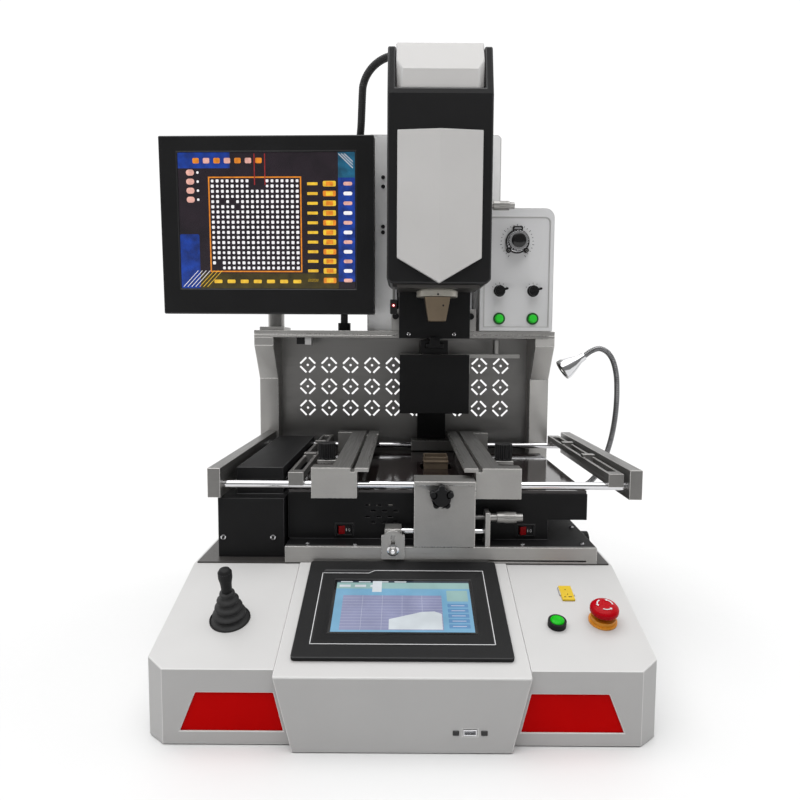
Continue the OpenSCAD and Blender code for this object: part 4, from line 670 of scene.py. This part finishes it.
def make_picture():
    """Camera picture of a bare chip site: a grid of pads in a gold outline with small parts beside it."""
    w, h = PICTURE_W, PICTURE_H
    x0, x1, y0, y1 = 53, 211, 29, 187
    shapes = [
        (oblong(0, 0, w, h), "picture_night", 0),
        (oblong(275, 12, w, h), "picture_blue", 1),
        (oblong(275, h - 42, w, h), "picture_teal", 2),
        (oblong(0, 0, 34, 92, 3), "picture_blue", 1),
        (oblong(34, 0, 275, 26), "picture_olive", 1),
        (oblong(0, h - 26, 90, h), "picture_blue", 1),
    ]
    outline = [(x0, y0), (x1, y0), (x1, y1), (x0, y1), (x0, y0)]
    shapes += [(strip, "picture_gold", 2) for strip in stroke(outline, 2.2)]
    pitch = (x1 - x0 - 2 * PAD_MARGIN) / (PADS - 1)
    for i in range(PADS):
        for j in range(PADS):
            if (i, j) in BARE_PADS:
                continue
            x = x0 + PAD_MARGIN + i * pitch
            y = y0 + PAD_MARGIN + j * pitch
            size = 2.35 + 0.25 * math.sin(3.1 * i + 1.7 * j)
            shapes.append((oblong(x - size, y - size, x + size, y + size, 1.1), "picture_pad", 2))
    for k in range(11):
        y = 14 + k * 16.2
        tints = ("picture_amber", "picture_gold") if k % 3 else ("picture_gold", "picture_amber")
        shapes.append((oblong(249, y - 4.6, 271, y + 4.6, 2), tints[0], 2))
        shapes.append((oblong(254, y - 3.6, 266, y + 3.6, 1), tints[1], 3))
        shapes.append((oblong(284, y - 3, 299, y + 3, 2.5), "picture_pad" if k % 2 else "picture_pink", 3))
        shapes.append((oblong(222, y - 2.4, 240, y + 2.4, 1), "picture_amber", 1))
    for k in range(4):
        y = h - 33 - k * 15
        shapes.append((oblong(14, y - 5, 28, y + 5, 4.5), "picture_pink", 2))
        shapes.append((oblong(32, y - 2, 36, y + 2, 1.5), "picture_pad", 2))
    for k in range(7):
        shapes += [(strip, "picture_pad" if k < 4 else "picture_amber", 3)
                   for strip in stroke([(4 + 7 * k, 3), (30 + 7 * k, 30)], 0.9)]
        shapes.append((oblong(58 + 23 * k, 9, 72 + 23 * k, 15, 1.5), "picture_amber", 2))
        tint = "picture_pink" if k % 2 else "picture_gold"
        shapes.append((oblong(26 + 18 * k, h - 18, 37 + 18 * k, h - 9, 2), tint, 2))
    for x in (132, 150):
        shapes += [(strip, "picture_red", 3) for strip in stroke([(x, y1 - 12), (x, h - 3)], 1.6)]
    for k in range(3):
        wire = [(276 + 5 * k, h - 3), (300, h - 26 + 5 * k)]
        shapes += [(strip, "picture_pad", 3) for strip in stroke(wire, 0.8)]
    flat_piece("camera_picture", monitor_matrix(), shapes, "monitor", "picture")


# SCREWS AND SMALL FITTINGS

class Group:
    """Small turned and cut pieces that are fixed to one body, gathered in one mesh."""

    def __init__(self, name, body, slot):
        self.name, self.body, self.slot = name, body, slot
        self.mesh = bmesh.new()
        self.finishes = []

    def index(self, finish):
        """The material index of a finish, which is added at its first use."""
        if finish not in self.finishes:
            self.finishes.append(finish)
        return self.finishes.index(finish)

    def loft(self, rings, finish, matrix):
        """Skins rings of millimetre points, each as long as the next, and caps both ends."""
        made = [[self.mesh.verts.new(matrix @ mm(*p)) for p in ring] for ring in rings]
        faces = []
        for low, high in zip(made, made[1:]):
            for k in range(len(low)):
                n = (k + 1) % len(low)
                faces.append(self.mesh.faces.new((low[k], low[n], high[n], high[k])))
        faces.append(self.mesh.faces.new(list(reversed(made[0]))))
        faces.append(self.mesh.faces.new(made[-1]))
        for face in faces:
            face.material_index = self.index(finish)

    def turn(self, outline, finish, matrix, sides=28):
        """A turned piece from (radius, height) points."""
        angles = [2 * math.pi * k / sides for k in range(sides)]
        rings = [[(r * math.cos(a), r * math.sin(a), h) for a in angles] for r, h in outline]
        self.loft(rings, finish, matrix)

    def slab(self, points, low, high, finish, matrix, edge=0.4):
        """A plate from outline points, with a small chamfer round its front."""
        middle = sum((Vector(p) for p in points), Vector((0, 0))) / len(points)
        reach = max((Vector(p) - middle).length for p in points)
        inner = [tuple(middle + (Vector(p) - middle) * (1 - edge / reach)) for p in points]
        rings = [[(x, y, low) for x, y in points], [(x, y, high - edge) for x, y in points],
                 [(x, y, high) for x, y in inner]]
        self.loft(rings, finish, matrix)

    def cap_screw(self, matrix, d, finish="chrome"):
        """Button-head screw with a dark disc at the bottom of its socket: painted shade."""
        r = d / 2
        outline = [(r, 0), (r, r * 0.25), (r * 0.85, r * 0.6), (r * 0.52, r * 0.75), (r * 0.50, r * 0.3)]
        self.turn(outline, finish, matrix)
        self.turn([(r * 0.5, r * 0.3), (r * 0.5, r * 0.32)], "hole_painted_shade", matrix, 6)

    def hex_bolt(self, matrix, d):
        """Hexagon bolt on a washer."""
        r = d / 2
        self.turn([(r * 1.35, 0), (r * 1.35, 1.2), (r * 1.25, 1.5)], "chrome", matrix)
        self.turn([(r, 1.5), (r, 5.4), (r * 0.86, 6.2)], "aluminium", matrix, 6)
        self.turn([(r * 0.55, 6.2), (r * 0.55, 8.4), (r * 0.42, 9.0)], "chrome", matrix)

    def thumb_screw(self, matrix, d):
        """Knurled black thumb screw."""
        r = d / 2
        sides = 32
        ring = [2 * math.pi * k / sides for k in range(sides)]
        wave = [r - 0.35 * (k % 2) for k in range(sides)]
        rings = [[(w * s * math.cos(a), w * s * math.sin(a), h) for a, w in zip(ring, wave)]
                 for s, h in ((0.6, 0), (0.6, 1.5), (1, 1.8), (1, 6.2), (0.85, 7))]
        self.loft(rings, "black_plastic", matrix)

    def build(self):
        """Makes the piece of all that was gathered."""
        bmesh.ops.recalc_face_normals(self.mesh, faces=self.mesh.faces)
        link(mesh_object(self.name, self.mesh, self.finishes), self.body, self.slot)


DIAL_Z = 574
SELECTOR_Z = 493
PANEL_PAIR = 28
DIAL_LENGTH = 17.3
SELECTOR_LENGTH = 13.3
SELECTOR_LEAN = math.radians(18)


def make_panel_details():
    """Ring, feet and lock tab of the dial, and the scale marks round it and round the selectors."""
    group = Group("panel_details", "base", "black_plastic")
    dial = front_matrix(PANEL_X, PANEL_FACE_Y - 1, DIAL_Z)
    group.turn([(19.8, 0), (19.8, 3.6), (19.2, 4.4), (18.2, 4.4), (18.2, 0.6)], "gloss_black", dial, 56)
    for turn in (225, 315):
        foot = dial @ Matrix.Rotation(math.radians(turn), 4, "Z") @ Matrix.Translation(mm(20.5, 0, 0))
        group.slab(oblong(-4, -4, 4, 4, 2.8), 0, 4.6, "gloss_black", foot)
        group.cap_screw(foot @ Matrix.Translation(mm(0.6, 0, 4.6)), 4.4, "steel")
    tab = dial @ Matrix.Translation(mm(0, 20, 0))
    group.slab(oblong(-8.5, -3, 8.5, 5, 2.5), 0, 4.6, "gloss_black", tab)
    group.slab(oblong(-5.5, -0.8, 5.5, 3, 1.5), 4.2, 5.6, "chrome", tab)
    for k in range(25):
        turn = math.radians(-60 + 300 * k / 24)
        mark = front_matrix(PANEL_X, PANEL_FACE_Y, DIAL_Z) @ Matrix.Rotation(turn, 4, "Z")
        length = 3.4 if k % 4 == 0 else 2.0
        group.slab(oblong(25.5, -0.45, 25.5 + length, 0.45), 0.02, 0.1, "print", mark, 0.05)
    for side in (-1, 1):
        for k in range(5):
            turn = math.radians(30 + 30 * k)
            mark = front_matrix(PANEL_X + side * PANEL_PAIR, PANEL_FACE_Y, SELECTOR_Z)
            mark = mark @ Matrix.Rotation(turn, 4, "Z")
            group.slab(oblong(12, -0.4, 14, 0.4), 0.02, 0.1, "print", mark, 0.05)
    group.build()


def make_dial_face():
    """Black cap in the chrome dial, and the pointers of the two selectors."""
    cap = Group("dial_cap", "dial_knob", "black_plastic")
    front = front_matrix(PANEL_X, PANEL_FACE_Y - DIAL_LENGTH, DIAL_Z)
    cap.turn([(12, -1), (12, 0.8), (10.6, 1.6), (3, 2.2)], "gloss_black", front, 40)
    cap.build()
    for side, name in ((-1, "selector_left"), (1, "selector_right")):
        pointer = Group(name + "_pointer", name, "black_plastic")
        place = front_matrix(PANEL_X + side * PANEL_PAIR, PANEL_FACE_Y - SELECTOR_LENGTH, SELECTOR_Z)
        place = place @ Matrix.Rotation(SELECTOR_LEAN, 4, "Z")
        pointer.slab(oblong(-5, -2.4, 13.5, 1.6, 1.6), -4, 1.2, "gloss_black", place, 0.7)
        pointer.slab(oblong(-3, 4, 3, 9, 1.6), -4, 0.6, "gloss_black", place, 0.7)
        pointer.build()


ESTOP = (220, -209)
ESTOP_CROWN = 22.6


def make_estop_arrows():
    """Turn-to-release arrows on the stop button."""
    shapes = []

    def at(radius, angle):
        return radius * math.cos(angle), radius * math.sin(angle)

    for k in range(3):
        start = 2 * math.pi * k / 3
        arc = [start + math.radians(a) for a in range(0, 61, 12)]
        inner = [at(7.6, a) for a in arc]
        outer = [at(9.0, a) for a in reversed(arc)]
        shapes.append((inner + outer, "pale_print", 0))
        tip = start + math.radians(78)
        base = arc[-1]
        shapes.append(([at(6.4, base), at(8.3, tip), at(10.2, base)], "pale_print", 0))
    matrix = deck_matrix(*ESTOP) @ Matrix.Translation(mm(0, 0, ESTOP_CROWN))
    flat_piece("stop_arrows", matrix, shapes, "estop_button", "red", 0.12)


FAN_SCREWS = [(x, -92, 158) for x in (-228, -165)]
COVER_SCREWS = [(x, 170, 420) for x in (7, 81)]
STOP_BOLT = (-12.5, -118, 150)
ROD_SCREWS = [(x, 201, 450) for x in (-15, 111)]
PORT = (67, -292.5, 22)
PORT_SCREW = 14
DECK_SCREWS = [
    (-120, -100, 152), (-60, -104, 152), (60, -104, 152), (150, -100, 152), (226, -96, 152), (232, -20, 152),
]
COLUMN_CLIPS = [(-38, 243, z) for z in (688, 672.5, 605, 595.5)]
SOCKET = (190.6, -165.2)
SOCKET_PLATE = 2.3
SOCKET_SLOTS = [(-0.6, 5.2, 1.4), (0.4, -3.0, 1.4), (-3.2, -7.6, 2.2), (2.6, -7.6, 4.4)]
REAR_SCREWS = [(x, 280, 132) for x in (-252, -148, 150, 252)]


def make_base_screws():
    """Screws, bolt and clips of the base, the plates beside its port and the plate of its socket."""
    group = Group("base_screws", "base", "chrome")
    for place in FAN_SCREWS:
        group.cap_screw(front_matrix(*place), 8)
    for place in COVER_SCREWS:
        group.cap_screw(front_matrix(*place), 7)
    group.hex_bolt(front_matrix(*STOP_BOLT), 11)
    for place in ROD_SCREWS:
        group.thumb_screw(front_matrix(*place), 11)
    for side in (-1, 1):
        place = front_matrix(PORT[0] + side * PORT_SCREW, PORT[1], PORT[2])
        group.slab(oblong(-3.2, -2.6, 3.2, 2.6, 0.8), 0, 0.8, "gloss_black", place)
    for place in DECK_SCREWS:
        group.cap_screw(Matrix.Translation(mm(*place)), 6)
    for place in COLUMN_CLIPS:
        group.cap_screw(front_matrix(*place), 7, "gloss_black")
    socket = deck_matrix(*SOCKET)
    group.slab(oblong(-7.3, -12.7, 7.3, 12.7, 0.6), 0, SOCKET_PLATE, "yellow", socket)
    for x, y, wide in SOCKET_SLOTS:
        outline = oblong(x - wide / 2, y - 0.7, x + wide / 2, y + 0.7, 0.3)
        group.slab(outline, SOCKET_PLATE, 2.4, "gloss_black", socket)
    for place in REAR_SCREWS:
        group.cap_screw(Matrix.Translation(mm(*place)), 7, "gloss_black")
    group.build()


ROCKERS = (-76, 158)
ROCKER_Y = -74
ROCKER_Z = 164
ROCKER_FACE = 4.7
ROCKER_LEAN = math.radians(-1.9)


def make_rocker_marks():
    """On and off marks on the dark half of the rockers."""
    for x, body in zip(ROCKERS, ("rocker_left", "rocker_right")):
        place = front_matrix(x + ROCKER_FACE, ROCKER_Y - ROCKER_FACE, ROCKER_Z)
        place = place @ Matrix.Rotation(ROCKER_LEAN, 4, "Y")
        shapes = [(oblong(-2.4, -1.8, -1.5, 1.8), "pale_print", 0)]
        ring = oblong(0.7, -1.6, 2.7, 1.6, 1)
        shapes += [(strip, "pale_print", 0) for strip in stroke(ring + ring[:1], 0.5)]
        flat_piece(body + "_marks", place, shapes, body, "red", 0.12)


LASER = (-16.8, 100, 460)


def make_laser():
    """Positioning laser that hangs at the left of the nozzle on a steel strap."""
    group = Group("laser_pointer", "head", "black_plastic")
    place = front_matrix(*LASER)
    group.slab(oblong(-5.3, -11, 5.3, 11, 1.2), -9, 0, "gloss_black", place)
    eye = place @ Matrix.Translation(mm(0, 2, 0))
    group.turn([(3.0, 0), (3.0, 0.5), (1.6, 0.7), (1.5, 0.3)], "red_button", eye, 24)
    group.turn([(1.4, 0.2), (1.4, 0.7), (0.9, 1.0)], "laser_glow", eye, 20)
    group.slab(oblong(-1.6, 10, 1.6, 32, 0.8), -7, -4.5, "steel", place)
    group.build()


FLANGE_HOLE = (HEAD_X, 62, 476.5)
NOZZLE_HOLE = (57.6, 76.1, 461)
NOZZLE_LEAN = math.radians(9.5)


def make_head_holes():
    """Set-screw holes in the nozzle's flange and in the nozzle itself, drawn as dark discs: painted shade."""
    flange = Group("flange_hole", "head", "aluminium")
    flange.turn([(1.6, -1), (1.6, 0.05)], "hole_painted_shade", front_matrix(*FLANGE_HOLE), 18)
    flange.build()
    nozzle = Group("nozzle_hole", "nozzle", "steel")
    place = front_matrix(*NOZZLE_HOLE) @ Matrix.Rotation(NOZZLE_LEAN, 4, "X")
    nozzle.turn([(1.5, -1), (1.5, 0.1)], "hole_painted_shade", place, 18)
    nozzle.build()


CABLE_HOLDER = (-170, 216, 414)
HOLDER_DEPTH = 24


def make_shelf_block():
    """Cable holder under the left of the shelf: a black clip beside a white block."""
    group = Group("cable_holder", "base", "black_plastic")
    place = front_matrix(*CABLE_HOLDER)
    group.slab(oblong(-14, -11.5, 0, 0, 0.6), -HOLDER_DEPTH, 0, "black_plastic", place)
    group.slab(oblong(0.2, -12.5, 11, 0, 0.8), -HOLDER_DEPTH, 0, "white_paint", place)
    group.build()


LAMP_AT = (290, 150, 386)
LAMP_LEAN = math.radians(-124)


def make_lamp_glass():
    """Dark front of the lamp: a black rim, a lens and a pale glowing point in its middle, a painted
    reflection.
    """
    group = Group("lamp_glass", "lamp", "chrome")
    place = Matrix.Translation(mm(*LAMP_AT)) @ Matrix.Rotation(LAMP_LEAN, 4, "Y")
    rim = [(14.6, 40.4), (14.6, 41.8), (13.8, 42.4), (11.2, 42.4), (11.0, 40.6)]
    group.turn(rim, "gloss_black", place, 40)
    group.turn([(11.0, 40.5), (9.5, 41.2), (6, 41.9), (2, 42.2)], "black_glass", place, 40)
    group.turn([(2.6, 42.0), (2.4, 42.5), (1, 42.7)], "lamp_painted_reflection", place, 24)
    group.build()


# DRESSING THE SOLIDS

# Middle, reach and finish of the stop button's collar, the socket and the port
FITTINGS = [
    ((220, -211, 105), 27, "orange"),
    ((191, -161, 113), 20, "white_paint"),
    ((67, -285, 22), 20, "chrome"),
]
PULL_ARM = HEAD_X + 57
MOUNT_TOP = 490.5
FLANGE_TOP = 484
FLANGE_STEP = (20, 29)
ADJUSTER_HALF = 62
ADJUSTER_BACK = -100
# Limits for one part of a face's normal
STEEP = 0.5
LEVEL = 0.7


def paint_fittings(centre, normal):
    """Finish of a face of the pressed-in fittings, from where it is."""
    x, y, z = centre
    for middle, reach, finish in FITTINGS:
        if (Vector(centre) - Vector(middle)).length < reach:
            return finish
    lamp_gland = y > 100 and x > 225 and z < 160
    if lamp_gland:
        return "chrome"
    panel_rings = 190 < y < 205 and z < 560
    if panel_rings:
        return "chrome" if z > 470 else "green_dark"
    return None


def paint_optics(centre, normal):
    """The optics box is black, and its pull arm is bare metal."""
    return "aluminium" if centre[0] > PULL_ARM else None


def paint_carriage(centre, normal):
    """Below the bare carriage are a dark mount plate and a pale flange for the nozzle."""
    x, y, z = centre
    step = FLANGE_STEP[0] < math.hypot(x - HEAD_X, y - HEAD_Y) < FLANGE_STEP[1] and abs(normal.z) < STEEP
    if z > MOUNT_TOP:
        return None
    return "champagne" if z < FLANGE_TOP or step else "dark_plate"


def paint_front_shade(centre, normal):
    """Upright sheets get a darker copy of the white than the decks: painted shade."""
    return "white_front_painted_shade" if abs(normal.z) < STEEP else None


def paint_column_light(centre, normal):
    """The column's front faces get a paler copy of its white: painted light."""
    return "column_front" if normal.y < -STEEP else None


def paint_box_light(centre, normal):
    """The control box's front faces get a paler copy of its white: painted light."""
    return "panel_front_painted_light" if normal.y < -STEEP else None


def paint_clamp_shade(centre, normal):
    """The clamps' jaw plates get a darker copy of their aluminium on top: painted shade."""
    return "aluminium_top_painted_shade" if normal.z > LEVEL else None


def paint_table_highlight(centre, normal):
    """The adjusting plate in front of the table gets a paler copy of the aluminium than its frame: a painted
    highlight.
    """
    adjuster = abs(centre[0] - HEAD_X) < ADJUSTER_HALF and centre[1] < ADJUSTER_BACK
    return "aluminium_painted_highlight" if adjuster else None


def paint_post_light(centre, normal):
    """The right post gets a paler copy of the aluminium than the left one: painted light."""
    return "aluminium_painted_light" if centre[0] > 0 else None


def paint_rocker(centre, normal):
    """A rocker is red on its left half."""
    return "rocker_red" if centre[0] < (ROCKERS[0] if centre[0] < 0 else ROCKERS[1]) else None


# Solid, finish, width of its rounded edges in millimetres and the paint of single faces
DRESS = [
    ("bottom_pan", "steel", 0.4, None), ("base_shell", "white_paint", 1.0, paint_front_shade),
    ("console_shell", "white_paint", 1.2, paint_front_shade), ("accent_panels", "red", 0.3, None),
    ("hmi_unit", "black_plastic", 0.8, None), ("deck_plate", "dark_plate", 0.4, None),
    ("front_strip", "aluminium_x", 0.5, None), ("fan_housing", "black_paint", 0.8, None),
    ("heater_tray", "black_paint", 0.6, None), ("heater_glass", "black_glass", 0.5, None),
    ("ir_heaters", "ceramic", 0.3, None), ("lower_nozzle", "bronze", 0.4, None),
    ("rod_brackets", "aluminium", 0.5, None), ("guide_rods", "chrome", 0.3, None),
    ("frame_posts", "aluminium", 0.9, paint_post_light), ("shelf_plate", "aluminium_x", 0.6, None),
    ("back_panel", "steel", 0.2, None), ("column_cover", "column_white", 2.0, paint_column_light),
    ("control_box", "white_paint", 1.2, paint_box_light), ("deck_fittings", "black_plastic", 0.3, paint_fittings),
    ("optics_rail", "black_paint", 0.5, None), ("monitor_stand", "aluminium", 0.6, None),
    ("fan_rotor", "aluminium", 0.0, None), ("rocker_left", "black_plastic", 0.4, paint_rocker),
    ("rocker_right", "black_plastic", 0.4, paint_rocker), ("mic_thimble", "aluminium", 0.0, None),
    ("dial_knob", "chrome", 0.3, None), ("selector_left", "black_plastic", 0.2, None),
    ("selector_right", "black_plastic", 0.2, None), ("green_button_left", "green_panel", 0.0, None),
    ("green_button_right", "green_panel", 0.0, None), ("optics_box", "black_paint", 0.8, paint_optics),
    ("monitor_neck", "black_paint", 0.5, None), ("monitor_shell", "black_plastic", 2.2, None),
    ("monitor_screen", "gloss_black", 0.0, None), ("hmi_screen", "gloss_black", 0.0, None),
    ("lamp_head", "chrome", 0.3, None), ("head_shell", "black_plastic", 2.5, None),
    ("head_cap", "white_shield", 2.0, None), ("head_cover", "white_shield", 1.0, None),
    ("head_carriage", "aluminium", 0.6, paint_carriage), ("nozzle", "nozzle_metal", 0.3, None),
    ("head_mic_thimble", "aluminium", 0.0, None), ("table_frame", "aluminium_dark", 0.7, paint_table_highlight),
    ("table_rods", "chrome", 0.0, None), ("star_knob", "black_plastic", 0.6, None),
    ("left_clamp", "aluminium", 0.5, paint_clamp_shade), ("left_clamp_knob", "black_plastic", 0.3, None),
    ("right_clamp", "aluminium", 0.5, paint_clamp_shade), ("right_clamp_knob", "black_plastic", 0.3, None),
    ("left_aux", "aluminium_dark", 0.4, None), ("right_aux", "aluminium_dark", 0.4, None),
    ("joystick_gimbal", "steel", 0.2, None), ("joystick_handle", "black_plastic", 0.3, None),
    ("start_button", "green", 0.0, None), ("estop_button", "red_button", 0.4, None),
    ("side_knob", "black_plastic", 0.4, None),
]

# STAGE

FLOOR_SIZE = 60.0
SKY_FRONT = 0.22
SKY_BACK = 1.05
# Axis, start and end of the change in brightness along it, and the brightness before it
SKY_SIDES = (("Y", -0.35, 0.25, SKY_FRONT), ("Z", 0.45, 0.85, 0.0))
SUN_POWER = 2.2
SUN_SOFTNESS = math.radians(70)
SUN_LEAN = (math.radians(12), math.radians(-8), 0)


def make_sky():
    """Soft studio surround: white behind and overhead, and dimmer on the operator's side."""
    world = bpy.data.worlds.new("studio")
    world.use_nodes = True
    nodes = world.node_tree.nodes
    links = world.node_tree.links
    place = nodes.new("ShaderNodeTexCoord")
    split = nodes.new("ShaderNodeSeparateXYZ")
    links.new(place.outputs["Generated"], split.inputs["Vector"])
    sides = []
    for axis, low, high, dim in SKY_SIDES:
        side = nodes.new("ShaderNodeMapRange")
        side.interpolation_type = "SMOOTHSTEP"
        links.new(split.outputs[axis], side.inputs["Value"])
        side.inputs["From Min"].default_value = low
        side.inputs["From Max"].default_value = high
        side.inputs["To Min"].default_value = dim
        side.inputs["To Max"].default_value = SKY_BACK
        sides.append(side)
    bright = nodes.new("ShaderNodeMath")
    bright.operation = "MAXIMUM"
    links.new(sides[0].outputs["Result"], bright.inputs[0])
    links.new(sides[1].outputs["Result"], bright.inputs[1])
    links.new(bright.outputs["Value"], nodes["Background"].inputs["Strength"])
    nodes["Background"].inputs["Color"].default_value = (1, 1, 1, 1)
    bpy.context.scene.world = world


def make_stage():
    """Floor, surround and a soft overhead light."""
    mesh = bmesh.new()
    bmesh.ops.create_grid(mesh, x_segments=8, y_segments=8, size=FLOOR_SIZE)
    mesh_object("floor", mesh, ["floor"], smooth=False)
    make_sky()
    data = bpy.data.lights.new("overhead", "SUN")
    data.energy = SUN_POWER
    data.angle = SUN_SOFTNESS
    lamp = bpy.data.objects.new("overhead", data)
    lamp.rotation_euler = SUN_LEAN
    bpy.context.scene.collection.objects.link(lamp)
    bpy.context.scene.view_settings.view_transform = "Standard"


FINISH["floor"] = finish_of("floor", (0.69, 0.69, 0.69), roughness=0.6, spread=0.05, vary=0.01, patch=3,
                            fine=120, bump=0.01)

make_camera()
make_hose()
make_gooseneck()
make_boot()
make_touch_display()
make_bezel_print()
make_picture()
make_panel_details()
make_dial_face()
make_estop_arrows()
make_base_screws()
make_rocker_marks()
make_laser()
make_head_holes()
make_shelf_block()
make_lamp_glass()
for node, finish, width, paint in DRESS:
    soften(node, finish, width, paint)
make_stage()
